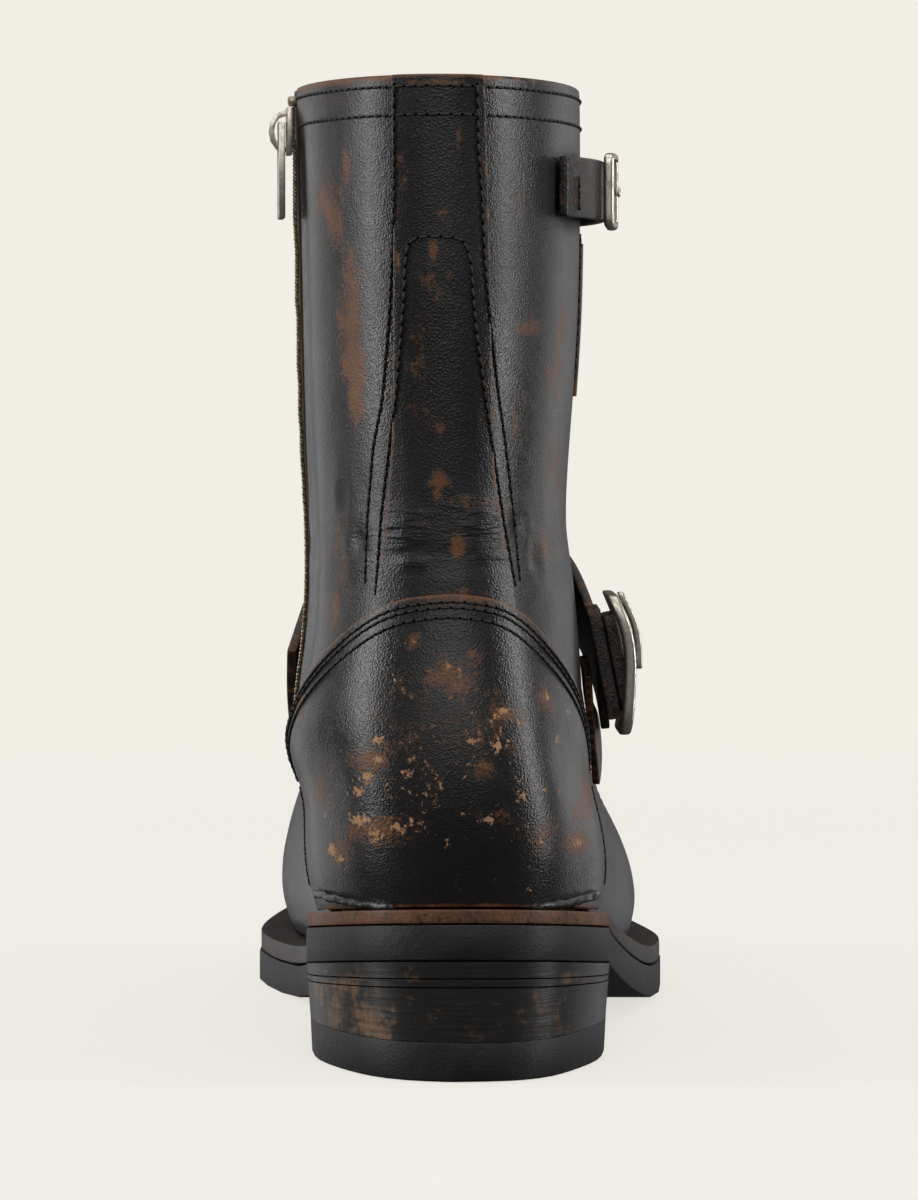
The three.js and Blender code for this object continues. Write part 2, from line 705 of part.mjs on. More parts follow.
function strapPlace(rows, width) {
  const middle = (s) => {
    const at = THREE.MathUtils.clamp(s, 0, 1);
    const u = along(rows, at, "u");
    return [u, vAt(u, along(rows, at, "height") * collarHeight)];
  };
  return (s, t) => {
    const [u, v] = middle(s);
    const ahead = upperPoint(...middle(s + 0.02)).sub(upperPoint(...middle(s - 0.02)));
    const normal = skin(u, v, 1).sub(upperPoint(u, v));
    const heading = normal.cross(ahead).normalize();
    return walk(u, v, heading, (t - 0.5) * width);
  };
}

const instepOut = (s) => seam + strapThickness * along(instepPath, s, "out");
const instepPlace = strapPlace(instepPath, instepStrapWidth);
const instepBand = overlay(strapSteps, strapColumns, instepPlace, instepOut, strapThickness);
add("instep_strap", instepBand, "#1d1a19", 0.5);
const topOut = (s) => seam + strapThickness * along(topPath, s, "out");
const topPlace = strapPlace(topPath, topStrapWidth);
const topBand = overlay(topStrapSteps, strapColumns, topPlace, topOut, strapThickness);
add("top_strap", topBand, "#1d1a19", 0.5);
const buckleOut = (s) => seam + strapThickness * along(bucklePath, s, "out");
const bucklePlace = strapPlace(bucklePath, buckleStrapWidth);
const buckleBand = overlay(buckleStrapSteps, strapColumns, bucklePlace, buckleOut, buckleStrapThickness);
add("buckle_strap", buckleBand, "#1d1a19", 0.5);

// A frame buckle in its own plane: p runs along the strap, q across it, and its face stands at bow(p).
function frameGrid(size, extra) {
  const { long, wide, bar, middle, bow } = size;
  const half = long / 2;
  const inner = half - bar;
  const ends = [-half, -half + bar * 0.4, -inner, -(inner + middle / 2) / 2, -middle / 2];
  const places = [...ends, ...ends.map((p) => -p).reverse()];
  const edge = wide / 2;
  const across = [-edge, bar - edge, 0, edge - bar, edge];
  return places.map((p) => {
    const corner = Math.abs(p) > half - 1e-6 ? 0.84 : Math.abs(p) > inner + 1e-6 ? 0.95 : 1;
    return across.map((q) => new THREE.Vector3(bow(p / half) + extra, p, q * corner));
  });
}

function frameBuckle(size) {
  const open = (j, i) => (i === 1 || i === 2) && ((j >= 2 && j <= 3) || (j >= 5 && j <= 6));
  return shell(frameGrid(size, size.thick), frameGrid(size, 0), false, (j, i) => !open(j, i));
}

// The prong lies on the frame, from its middle bar to the end bar that it points at.
function prong(size, towards) {
  const steps = 6;
  const grid = (extra) => {
    const rows = [];
    for (let k = 0; k <= steps; k += 1) {
      const p = towards * THREE.MathUtils.lerp(-size.middle / 2, size.long / 2, k / steps);
      const x = size.bow((2 * p) / size.long) + size.thick + seam + extra;
      rows.push([-1, 1].map((side) => new THREE.Vector3(x, p, (side * prongWidth) / 2)));
    }
    return rows;
  };
  return shell(grid(prongThickness), grid(0), false);
}

const bowOf = (rows, stand) => (share) => stand * along(rows, (share + 1) / 2, "out");
const instepBuckle = {
  long: instepBuckleLength,
  wide: instepBuckleWidth,
  bar: instepBuckleBar,
  middle: instepBuckleBar,
  thick: buckleThickness,
  bow: bowOf(instepBow, instepBuckleStand),
};
const topBuckle = {
  long: topBuckleLength,
  wide: topStrapWidth + 2 * (topBuckleBar + 0.1),
  bar: topBuckleBar,
  middle: topBuckleBar,
  thick: topBuckleThickness,
  bow: bowOf(topBow, topBuckleStand),
};

// The instep buckle stands upright, with the strap running down through it, and the top buckle lies
// level.
const upright = new THREE.Matrix4().makeRotationX(Math.PI / 2);
const instepBuckleV = vAt(instepBuckleU, instepBucklePlace * collarHeight);
const instepSeat = seatOn(instepBuckleU, instepBuckleV).multiply(upright);
const topSeat = seatOn(topBuckleU, vAt(topBuckleU, topStrapPlace * collarHeight));
add("instep_buckle", frameBuckle(instepBuckle).applyMatrix4(instepSeat), "#b0a79a", 0.35, 0.95);
add("instep_prong", prong(instepBuckle, 1).applyMatrix4(instepSeat), "#b0a79a", 0.35, 0.95);
add("top_buckle", frameBuckle(topBuckle).applyMatrix4(topSeat), "#b0a79a", 0.35, 0.95);
add("top_prong", prong(topBuckle, 1).applyMatrix4(topSeat), "#b0a79a", 0.35, 0.95);

boot.updateMatrixWorld(true);
const reach = new THREE.Box3().setFromObject(boot);
const centre = reach.getCenter(new THREE.Vector3());
boot.children.forEach((mesh) => mesh.geometry.translate(-centre.x, -centre.y, -reach.min.z));

export default boot;
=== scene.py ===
import math
import bpy
import numpy as np
from mathutils import Matrix, Vector, noise
from mathutils.bvhtree import BVHTree
from mathutils.kdtree import KDTree


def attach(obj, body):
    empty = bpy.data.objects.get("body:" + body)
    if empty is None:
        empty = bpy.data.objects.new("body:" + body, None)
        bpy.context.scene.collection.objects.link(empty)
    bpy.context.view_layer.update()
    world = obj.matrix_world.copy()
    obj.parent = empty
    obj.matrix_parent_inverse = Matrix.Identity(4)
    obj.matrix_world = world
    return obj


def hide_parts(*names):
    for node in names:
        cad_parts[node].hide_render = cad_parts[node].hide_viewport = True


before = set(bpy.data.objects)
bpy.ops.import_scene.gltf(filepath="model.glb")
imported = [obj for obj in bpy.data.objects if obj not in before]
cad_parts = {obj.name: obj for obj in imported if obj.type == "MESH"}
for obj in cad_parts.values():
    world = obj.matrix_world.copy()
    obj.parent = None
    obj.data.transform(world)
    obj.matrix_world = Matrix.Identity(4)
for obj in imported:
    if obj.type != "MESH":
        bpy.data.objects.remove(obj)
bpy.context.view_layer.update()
mm = 0.001


# Upper: shaft, vamp and lining of thick waxed pull-up leather, dyed brown and finished black, sewn and pulled
# over the last. The black finish has rubbed through to brown where hands, trousers and chair legs touch it.
def copy_of(node, name):
    """A loose copy of a CAD piece, its corners welded and its triangles paired into quads."""
    bpy.ops.object.select_all(action="DESELECT")
    piece = bpy.data.objects.new(name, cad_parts[node].data.copy())
    bpy.context.scene.collection.objects.link(piece)
    piece.data.materials.clear()
    piece.select_set(True)
    bpy.context.view_layer.objects.active = piece
    bpy.ops.mesh.customdata_custom_splitnormals_clear()
    bpy.ops.object.mode_set(mode="EDIT")
    bpy.ops.mesh.select_all(action="SELECT")
    bpy.ops.mesh.remove_doubles(threshold=0.01 * mm)
    bpy.ops.mesh.tris_convert_to_quads(face_threshold=math.pi, shape_threshold=math.pi, topology_influence=2)
    bpy.ops.object.mode_set(mode="OBJECT")
    return piece


def apply_all(piece):
    """Applies the modifiers of a piece in their order."""
    bpy.ops.object.select_all(action="DESELECT")
    piece.select_set(True)
    bpy.context.view_layer.objects.active = piece
    for modifier in list(piece.modifiers):
        bpy.ops.object.modifier_apply(modifier=modifier.name)


def rounded(piece, edge, steps, levels=0):
    """Rounds a piece's hard edges to a width in mm, then smooths what lies between them."""
    if edge:
        bevel = piece.modifiers.new("edge", "BEVEL")
        bevel.width = edge * mm
        bevel.segments = steps
        bevel.limit_method = "ANGLE"
        bevel.angle_limit = math.radians(48)
    if levels:
        smooth = piece.modifiers.new("smooth", "SUBSURF")
        smooth.levels = smooth.render_levels = levels
    apply_all(piece)
    bpy.ops.object.shade_smooth_by_angle(angle=math.radians(40))
    return piece


def linear(code):
    """An sRGB hex colour as the linear values that a shader takes."""
    parts = [int(code[i:i + 2], 16) / 255 for i in (1, 3, 5)]
    return [c / 12.92 if c <= 0.04045 else ((c + 0.055) / 1.055) ** 2.4 for c in parts] + [1]


def put(tree, kind, settings, sockets):
    """Adds one node with its own settings, and gives its sockets values or links from other nodes."""
    node = tree.nodes.new("ShaderNode" + kind)
    for key, value in settings.items():
        setattr(node, key, value)
    for key, value in sockets.items():
        if isinstance(value, bpy.types.NodeSocket):
            tree.links.new(value, node.inputs[key])
        else:
            node.inputs[key].default_value = value
    return node


def surface(name):
    """A bare material: its node tree, its shader and its Object coordinates."""
    material = bpy.data.materials.new(name)
    material.use_nodes = True
    tree = material.node_tree
    return material, tree, tree.nodes["Principled BSDF"], put(tree, "TexCoord", {}, {}).outputs["Object"]


def finished(piece, material, body, *nodes, slot=None):
    """Gives a piece its material and its body, and hides the CAD nodes that it stands for."""
    if material:
        piece.data.materials.append(material)
    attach(piece, body)
    if nodes:
        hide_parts(*nodes)
    return piece


grain_size = 0.5        # mm between pores, a little coarser than real so that it shows
eye = Vector((0, -1.3116, 0.152))
ahead = Vector((0, math.cos(math.radians(2.148)), -math.sin(math.radians(2.148))))
above = Vector((1, 0, 0)).cross(ahead)
focal = 5200            # pixels of the 918 x 1200 photograph


def pixel_of(place):
    """Where a place on the boot lies in the photograph."""
    depth = (place - eye).dot(ahead)
    return 459 + focal * place.x / depth, 600 - focal * (place - eye).dot(above) / depth


rub_table = (           # soft brown rubs seen from behind: x, y, half width, half height in pixels, strength
    (352, 340, 13, 66, 1.1), (350, 268, 10, 20, 0.95), (356, 395, 9, 26, 1.15), (349, 362, 6, 14, 1.0),
    (327, 200, 15, 20, 0.9), (335, 228, 9, 14, 0.95), (346, 170, 4, 20, 0.95), (337, 315, 10, 5, 0.95),
    (367, 377, 4, 9, 0.8), (330, 98, 22, 8, 0.5), (340, 560, 12, 60, 0.45), (335, 612, 8, 26, 0.7),
    (530, 327, 15, 5, 0.75), (520, 200, 5, 8, 0.6), (507, 150, 4, 8, 0.6), (567, 247, 5, 11, 0.8),
    (563, 330, 8, 24, 0.7), (557, 372, 9, 34, 0.75), (553, 470, 9, 40, 0.6), (545, 545, 14, 22, 0.6),
    (498, 510, 16, 6, 0.7), (515, 420, 10, 50, 0.4), (590, 700, 14, 40, 0.5), (300, 800, 10, 40, 0.5),
)


def weight_at(place, table):
    """How strongly a table of soft patches, seen from behind, touches a place on a piece."""
    if place.y > -60 * mm:
        return 0
    across, down = pixel_of(place)
    most = 0
    for x, y, wide, high, strength in table:
        away = ((across - x) / wide) ** 2 + ((down - y) / high) ** 2
        if away < 6:
            most = max(most, strength * math.exp(-away))
    return most


def painted(piece, name, value):
    """Keeps one number per vertex on a piece, for its material to read."""
    layer = piece.data.attributes.get(name) or piece.data.attributes.new(name, "FLOAT", "POINT")
    layer.data.foreach_set("value", [value(vertex.co) for vertex in piece.data.vertices])


def near(points, reach):
    """A function that says how near a place is to a set of points, from 1 on them to 0 at the reach in mm."""
    tree = KDTree(len(points))
    for i, point in enumerate(points):
        tree.insert(point, i)
    tree.balance()
    return lambda place: max(0, 1 - tree.find(place)[2] / (reach * mm))


def pull_up_leather(name, black, grey, grain, shine):
    """Waxed pull-up leather with a worn black finish. It reads rub, chip and edge from the piece."""
    material, tree, shader, place = surface(name)
    cloud = put(tree, "TexNoise", {}, {"Vector": place, "Scale": 28, "Detail": 5, "Roughness": 0.6}).outputs["Fac"]
    patch = put(tree, "TexNoise", {}, {"Vector": place, "Scale": 190, "Detail": 6, "Roughness": 0.65}).outputs["Fac"]
    flake = put(tree, "TexNoise", {}, {"Vector": place, "Scale": 880, "Detail": 5, "Roughness": 0.7}).outputs["Fac"]
    fine = put(tree, "TexNoise", {}, {"Vector": place, "Scale": 2600, "Detail": 2}).outputs["Fac"]
    pores = put(tree, "TexVoronoi", {"feature": "SMOOTH_F1"}, {"Vector": place, "Scale": 1 / (grain * mm), "Smoothness": 0.4})
    long = put(tree, "Mapping", {}, {"Vector": place, "Scale": (900, 900, 60), "Rotation": (0.1, 0.25, 0)}).outputs["Vector"]
    scratch = put(tree, "TexNoise", {}, {"Vector": long, "Scale": 1, "Detail": 3}).outputs["Fac"]

    read = {key: put(tree, "Attribute", {"attribute_name": key}, {}).outputs["Fac"] for key in ("rub", "chip", "edge", "crease")}
    rubs = put(tree, "Math", {"operation": "MULTIPLY_ADD"}, {0: read["rub"], 1: 1.15, 2: -1.15}).outputs[0]
    broken = put(tree, "Math", {"operation": "MULTIPLY_ADD"}, {0: patch, 1: 1.5, 2: rubs}).outputs[0]
    broken = put(tree, "Math", {"operation": "MULTIPLY_ADD"}, {0: flake, 1: 2.5, 2: broken}).outputs[0]
    rubbed = put(tree, "MapRange", {"interpolation_type": "SMOOTHSTEP"},
                 {"Value": broken, "From Min": 1.12, "From Max": 1.85}).outputs[0]
    edges = put(tree, "Math", {"operation": "MULTIPLY_ADD"}, {0: read["edge"], 1: 1.65, 2: -1.2}).outputs[0]
    edges = put(tree, "Math", {"operation": "MULTIPLY_ADD"}, {0: patch, 1: 1.1, 2: edges}).outputs[0]
    edged = put(tree, "MapRange", {"interpolation_type": "SMOOTHSTEP"},
                {"Value": edges, "From Min": 0.25, "From Max": 0.75}).outputs[0]
    worn = put(tree, "Math", {"operation": "MAXIMUM"}, {0: rubbed, 1: edged}).outputs[0]
    chips = put(tree, "Math", {"operation": "MULTIPLY_ADD"}, {0: read["chip"], 1: 0.9, 2: -0.9}).outputs[0]
    chips = put(tree, "Math", {"operation": "MULTIPLY_ADD"}, {0: flake, 1: 2.2, 2: chips}).outputs[0]
    chips = put(tree, "Math", {"operation": "MULTIPLY_ADD"}, {0: patch, 1: 1.2, 2: chips}).outputs[0]
    chipped = put(tree, "MapRange", {"interpolation_type": "SMOOTHSTEP"},
                  {"Value": chips, "From Min": 1.42, "From Max": 1.48}).outputs[0]

    coat = put(tree, "Mix", {"data_type": "RGBA"}, {0: cloud, 6: linear(black), 7: linear(grey)}).outputs[2]
    brown = put(tree, "Mix", {"data_type": "RGBA"}, {0: patch, 6: linear("#3a2413"), 7: linear("#8c5a34")}).outputs[2]
    tan = put(tree, "Mix", {"data_type": "RGBA"}, {0: fine, 6: linear("#8f5f3a"), 7: linear("#e0b082")}).outputs[2]
    skin = put(tree, "Mix", {"data_type": "RGBA"}, {0: worn, 6: coat, 7: brown}).outputs[2]
    scored = put(tree, "MapRange", {}, {"Value": scratch, "From Min": 0.68, "From Max": 0.78, "To Max": 0.35}).outputs[0]
    skin = put(tree, "Mix", {"data_type": "RGBA"}, {0: scored, 6: skin, 7: linear("#4a3020")}).outputs[2]
    skin = put(tree, "Mix", {"data_type": "RGBA"}, {0: chipped, 6: skin, 7: tan}).outputs[2]
    tree.links.new(skin, shader.inputs["Base Color"])

    gloss = put(tree, "MapRange", {}, {"Value": cloud, "From Min": 0.3, "From Max": 0.7, "To Min": shine - 0.05, "To Max": shine + 0.09})
    gloss = put(tree, "Math", {"operation": "MULTIPLY_ADD"}, {0: worn, 1: 0.16, 2: gloss.outputs[0]}).outputs[0]
    gloss = put(tree, "Math", {"operation": "MULTIPLY_ADD"}, {0: chipped, 1: 0.3, 2: gloss}).outputs[0]
    tree.links.new(gloss, shader.inputs["Roughness"])

    lines = put(tree, "Mapping", {}, {"Vector": place, "Scale": (90, 90, 480), "Rotation": (0.12, 0.1, 0)}).outputs["Vector"]
    lines = put(tree, "TexNoise", {}, {"Vector": lines, "Scale": 1, "Detail": 3, "Roughness": 0.6}).outputs["Fac"]
    lines = put(tree, "Math", {"operation": "MULTIPLY"}, {0: lines, 1: read["crease"]}).outputs[0]
    relief = put(tree, "Math", {"operation": "MULTIPLY_ADD"}, {0: fine, 1: 0.25, 2: pores.outputs["Distance"]}).outputs[0]
    bump = put(tree, "Bump", {}, {"Height": relief, "Strength": 0.7, "Distance": 0.14 * mm}).outputs["Normal"]
    bump = put(tree, "Bump", {}, {"Height": lines, "Strength": 1, "Distance": 1.6 * mm, "Normal": bump}).outputs["Normal"]
    bump = put(tree, "Bump", {}, {"Height": patch, "Strength": 0.35, "Distance": 0.5 * mm, "Normal": bump}).outputs["Normal"]
    bump = put(tree, "Bump", {"invert": True}, {"Height": chipped, "Strength": 0.7, "Distance": 0.25 * mm, "Normal": bump})
    tree.links.new(bump.outputs["Normal"], shader.inputs["Normal"])
    shader.inputs["IOR"].default_value = 1.48
    shader.inputs["Coat Weight"].default_value = 0.12
    shader.inputs["Coat Roughness"].default_value = 0.3
    return material


upper_leather = pull_up_leather("pull_up_leather_worn_black", "#131112", "#201d1e", grain_size, 0.34)
lining, tree, shader, place = surface("glove_leather_lining")
wear = put(tree, "TexNoise", {}, {"Vector": place, "Scale": 60, "Detail": 5}).outputs["Fac"]
tone = put(tree, "ValToRGB", {}, {"Fac": wear})
tone.color_ramp.elements[0].color = linear("#3d2d20")
tone.color_ramp.elements[1].color = linear("#7c5f43")
fibre = put(tree, "TexVoronoi", {}, {"Vector": place, "Scale": 900}).outputs["Distance"]
nap = put(tree, "Bump", {}, {"Height": fibre, "Strength": 0.25, "Distance": 0.15 * mm}).outputs["Normal"]
tree.links.new(tone.outputs["Color"], shader.inputs["Base Color"])
tree.links.new(nap, shader.inputs["Normal"])
shader.inputs["Roughness"].default_value = 0.62

upper = copy_of("upper", "upper_leather")
for layer in (upper_leather, lining):
    upper.data.materials.append(layer)


def spots(piece):
    """The places and normals of a piece's vertices."""
    at = np.empty(len(piece.data.vertices) * 3)
    facing = at.copy()
    piece.data.vertices.foreach_get("co", at)
    piece.data.vertex_normals.foreach_get("vector", facing)
    return at.reshape(-1, 3), facing.reshape(-1, 3)


def outwards(at, facing):
    """Whether normals point away from the line that the foot and leg run along."""
    x, y, z = (at / mm).T
    front = np.clip(90 - (z - 40) * 2, -60, 90)
    heart = np.stack([np.full_like(x, -3), np.clip(y, -100, front), np.clip(z, 40, 200)], 1)
    return ((at - heart * mm) * facing).sum(1) > 0


def moved(piece, amount):
    """Moves the outside of a piece along its normals, by an amount in mm for each vertex."""
    at, facing = spots(piece)
    at += facing * (amount * outwards(at, facing) * mm)[:, None]
    piece.data.vertices.foreach_set("co", at.ravel())
    piece.data.update()


def troughs(at, folds):
    """How far soft creases sink or lift places. A fold is a middle, a way, half its length and width, and a depth."""
    total = np.zeros(len(at))
    for middle, way, long, wide, deep in folds:
        apart = (at - np.array(middle) * mm) / mm
        along = apart @ np.array(Vector(way).normalized())
        across = np.sqrt(np.maximum((apart * apart).sum(1) - along * along, 0)) / wide
        fade = np.exp(-(along / long) ** 4)
        total += deep * fade * (0.45 * np.exp(-(across - 2) ** 2) - np.exp(-across * across))
    return total


collar_top = 226
rims = []
outside = outwards(np.array([face.center for face in upper.data.polygons]), np.array([face.normal for face in upper.data.polygons]))
for face, out in zip(upper.data.polygons, outside):
    level = abs(face.normal.z) > 0.8 and face.center.z > (collar_top - 1) * mm
    face.material_index = 0 if out or level else 1
    if level:
        rims += [upper.data.vertices[i].co.copy() for i in face.vertices]
rounded(upper, 0.75, 2, 2)
worn_rim = near([rim.lerp(other, t / 4) for rim, other in zip(rims, rims[1:] + rims[:1])
                 if (rim - other).length < 15 * mm for t in range(4)], 4.5)
vamp_line = ((-95, 57), (-75, 61), (-60, 66), (-45, 74), (-30, 84), (-15, 96), (0, 109), (15, 124), (40, 150))
upper_folds = (         # middle, way, half length, half width, depth in mm: the ankle, the instep and the ball
    ((-20, -128, 121), (1, 0.5, 0.12), 14, 2.6, 0.5), ((16, -132, 125), (1, -0.5, 0.1), 13, 2.4, 0.5),
    ((-24, -122, 131), (1, 0.7, -0.1), 10, 2.2, 0.35), ((20, -126, 116), (1, -0.6, -0.2), 12, 2.6, 0.45),
    ((-34, -100, 118), (0.2, 1, 0.25), 13, 3.0, 0.45), ((28, -98, 122), (-0.2, 1, 0.2), 14, 3.0, 0.5),
    ((-32, -70, 112), (0.2, 1, -0.3), 12, 2.8, 0.5), ((30, -66, 114), (-0.3, 1, -0.3), 12, 2.8, 0.5),
    ((-34, -60, 132), (0.3, 1, 0.1), 15, 3.4, 0.6), ((29, -58, 136), (-0.3, 1, 0.15), 15, 3.4, 0.6),
    ((-4, -14, 138), (1, 0, 0.05), 22, 3.2, 0.7), ((-6, -12, 148), (1, 0, -0.06), 18, 2.6, 0.5),
    ((-10, 22, 94), (1, 0.15, 0.02), 20, 2.8, 0.6), ((-8, 32, 86), (1, -0.12, -0.05), 24, 2.8, 0.7),
    ((-6, 44, 77), (1, 0.1, 0), 28, 3.0, 0.8), ((-8, 56, 69), (1, -0.1, 0), 28, 2.8, 0.75),
    ((2, 68, 62), (1, 0.12, -0.04), 24, 2.4, 0.5), ((-34, 36, 50), (0.35, 0.5, -1), 13, 2.6, 0.5),
    ((34, 40, 46), (-0.3, 0.55, -1), 12, 2.6, 0.5), ((-36, 20, 44), (0.2, 0.4, -1), 11, 2.6, 0.4),
)
at, facing = spots(upper)
y, z = at[:, 1] / mm, at[:, 2] / mm
inside = np.interp(y, *zip(*vamp_line)) - z
step = np.clip(inside / 1.6 + 0.5, 0, 1) * np.exp(-np.maximum(inside, 0) / 14) * (y > -90)
slit = (at[:, 0] < -20 * mm) * (z > 64) * (z < 222) * np.clip(np.minimum(z - 64, 222 - z) / 8, 0, 1)
behind_zip = slit * np.exp(-((y + 99) / 6) ** 2)
moved(upper, troughs(at, upper_folds) + 0.5 * step - 1.0 * behind_zip)
painted(upper, "rub", lambda place: weight_at(place, rub_table))
painted(upper, "chip", lambda place: 0)
painted(upper, "edge", worn_rim)
painted(upper, "crease", lambda place: 0.25 * max(0, 1 - abs(place.z - 0.122) / 0.02))
finished(upper, None, "root", "upper", slot="upper_leather")


# Counter and backstay: the outside counter cups the heel over a stiffener, and the backstay covers the back
# seam from the counter to the collar. Both are sewn on, of the upper's leather; the counter has the most scars.
chip_table = (          # where the finish has chipped to tan leather: x, y, half width, half height, strength
    (413, 640, 6, 6, 0.8), (392, 677, 6, 5, 0.8), (383, 668, 5, 5, 0.6), (377, 740, 9, 6, 0.95), (432, 723, 7, 6, 0.7),
    (437, 742, 5, 5, 0.9), (418, 745, 4, 3, 0.7), (458, 733, 3, 3, 0.9), (471, 742, 7, 4, 1.05), (498, 747, 6, 6, 1.25),
    (407, 773, 10, 4, 1.25), (367, 777, 12, 9, 0.95), (357, 790, 7, 8, 0.95), (378, 760, 7, 5, 0.9),
    (472, 765, 10, 5, 0.95), (362, 820, 15, 7, 1.2), (374, 836, 13, 9, 1.0), (398, 827, 10, 9, 0.95),
    (412, 822, 5, 4, 0.8), (332, 850, 6, 9, 1.0), (341, 858, 7, 6, 0.85), (346, 869, 4, 4, 0.85), (325, 782, 4, 7, 0.7),
    (325, 815, 3, 9, 0.7), (447, 842, 7, 8, 0.8), (430, 835, 9, 3, 0.7), (452, 795, 5, 4, 0.7), (463, 813, 5, 6, 0.65),
    (488, 820, 9, 6, 1.1), (497, 806, 6, 5, 0.7), (523, 797, 4, 6, 0.95), (518, 781, 3, 4, 0.8), (543, 790, 3, 4, 0.8),
    (543, 840, 7, 9, 0.75), (578, 842, 10, 8, 0.9), (558, 792, 4, 5, 0.6), (483, 853, 4, 5, 0.7), (530, 868, 3, 6, 0.65),
    (530, 890, 6, 3, 0.8), (505, 710, 6, 5, 1.0), (520, 723, 7, 7, 0.85), (547, 697, 6, 6, 0.7), (568, 712, 3, 5, 0.95),
    (557, 740, 5, 8, 0.6), (527, 635, 4, 4, 0.75), (455, 675, 26, 24, 0.5), (455, 770, 120, 110, 0.4), (380, 790, 60, 60, 0.42),
)
counter_rubs = (
    (452, 678, 30, 22, 0.8), (413, 640, 9, 9, 0.9), (475, 655, 12, 12, 0.6), (372, 762, 26, 16, 0.85),
    (375, 830, 36, 16, 0.85), (483, 770, 16, 12, 0.85), (320, 790, 12, 24, 0.7), (578, 842, 16, 12, 1.0),
    (580, 812, 12, 14, 0.8), (588, 790, 9, 40, 0.7), (545, 835, 18, 18, 0.6), (508, 715, 16, 12, 0.75),
    (545, 700, 14, 20, 0.6), (500, 815, 20, 14, 0.5), (340, 852, 14, 16, 0.75), (455, 600, 40, 7, 0.8),
    (450, 730, 90, 60, 0.35), (300, 700, 10, 40, 0.5),
)
backstay_rubs = (
    (433, 250, 5, 13, 1.05), (430, 280, 8, 8, 0.95), (438, 291, 6, 6, 0.95), (448, 273, 4, 4, 0.8), (458, 140, 2.5, 6, 1.0),
    (398, 262, 3, 12, 0.8), (400, 155, 7, 4, 0.7), (443, 212, 8, 5, 0.7), (405, 175, 5, 14, 0.5), (440, 428, 5, 6, 1.05),
    (440, 480, 12, 12, 0.95), (437, 495, 6, 8, 1.0), (458, 545, 8, 16, 1.05), (435, 82, 30, 4, 0.9), (470, 500, 20, 10, 0.5),
    (420, 360, 10, 60, 0.4), (450, 600, 30, 12, 0.6),
)
crease_table = (        # where the ankle's fine creases are: x, y, half width, half height, strength
    (404, 528, 20, 20, 1.0), (482, 525, 24, 24, 1.0), (412, 562, 16, 8, 0.8), (490, 556, 20, 8, 0.6), (440, 540, 60, 40, 0.2),
)
sheets = []
for node, name, rubs, chips in (("counter", "counter_leather", counter_rubs, chip_table),
                                ("backstay", "backstay_leather", backstay_rubs, ())):
    sheet = copy_of(node, name)
    border = []
    for face in sheet.data.polygons:
        corners = [sheet.data.vertices[i].co for i in face.vertices]
        sides = list(zip(corners, corners[1:] + corners[:1]))
        if min((a - b).length for a, b in sides) < 2.2 * mm and (node == "counter" or face.center.z > 116 * mm):
            border += [a.lerp(b, t / 6) for a, b in sides for t in range(6)]
    rounded(sheet, 0.45, 2, 3)
    at, facing = spots(sheet)
    under = np.clip(118 - at[:, 2] / mm, 0, 8) / 8 if node == "backstay" else 0
    moved(sheet, troughs(at, upper_folds[:4]) + 0.4 * under)
    for vertex in sheet.data.vertices if node == "backstay" else ():
        vertex.co.z -= 3.5 * mm * min(1, max(0, (0.113 - vertex.co.z) / 0.005))
    painted(sheet, "rub", lambda place: weight_at(place, rubs))
    painted(sheet, "chip", lambda place: weight_at(place, chips))
    painted(sheet, "edge", near(border, 2.4))
    painted(sheet, "crease", lambda place: weight_at(place, crease_table))
    sheets.append(finished(sheet, upper_leather, "root", node, slot="upper_leather"))

# Stitching: waxed black thread in lockstitch at about ten to the inch, each stitch pulled a little into the leather
# between its two needle holes, whose dark insides are painted shade: small matte black balls. The collar, counter,
# backstay, vamp and side seam are sewn in rows.
thread, tree, shader, place = surface("waxed_thread_black")
twist = put(tree, "TexNoise", {}, {"Vector": place, "Scale": 2400, "Detail": 2}).outputs["Fac"]
tone = put(tree, "Mix", {"data_type": "RGBA"}, {0: twist, 6: linear("#0e0c0c"), 7: linear("#2e2824")}).outputs[2]
tree.links.new(tone, shader.inputs["Base Color"])
shader.inputs["Roughness"].default_value = 0.55
# Painted shade: each needle hole is a small matte black ball with no reflection, standing in for the dark inside of the
# hole.
stitch_hole_shade, tree, shader, place = surface("painted_shade_in_stitch_hole")
shader.inputs["Base Color"].default_value = linear("#070606")
shader.inputs["Roughness"].default_value = 1
shader.inputs["Specular IOR Level"].default_value = 0

pitch = 2.6
bpy.ops.object.select_all(action="DESELECT")
bpy.ops.mesh.primitive_uv_sphere_add(segments=8, ring_count=6, radius=0.5, location=(pitch / 2 * mm, 0, 0), scale=(2.3 * mm, 0.8 * mm, 0.76 * mm))
stitch = bpy.context.object
stitch.data.materials.append(thread)
# The painted-shade ball for the needle hole, joined to the start of every stitch.
bpy.ops.mesh.primitive_uv_sphere_add(segments=6, ring_count=4, radius=0.32 * mm, location=(0, 0, 0))
bpy.context.object.data.materials.append(stitch_hole_shade)
stitch.select_set(True)
bpy.context.view_layer.objects.active = stitch
bpy.ops.object.join()
bpy.ops.object.transform_apply()
stitch_mesh = stitch.data
bpy.data.objects.remove(stitch)


def leather_tree(*pieces):
    """A tree of the faces of some pieces, to find where a line of sight meets them."""
    points, faces = [], []
    for piece in pieces:
        first = len(points)
        points += [vertex.co.copy() for vertex in piece.data.vertices]
        faces += [[first + i for i in face.vertices] for face in piece.data.polygons]
    return BVHTree.FromPolygons(points, faces)


def evenly(points, step):
    """Places along a line of points, a step apart."""
    made, left = [points[0]], step
    for a, b in zip(points, points[1:]):
        span = (b - a).length
        while span > 0 and left <= span:
            made.append(a.lerp(b, left / span))
            left += step
        left -= span
    return made


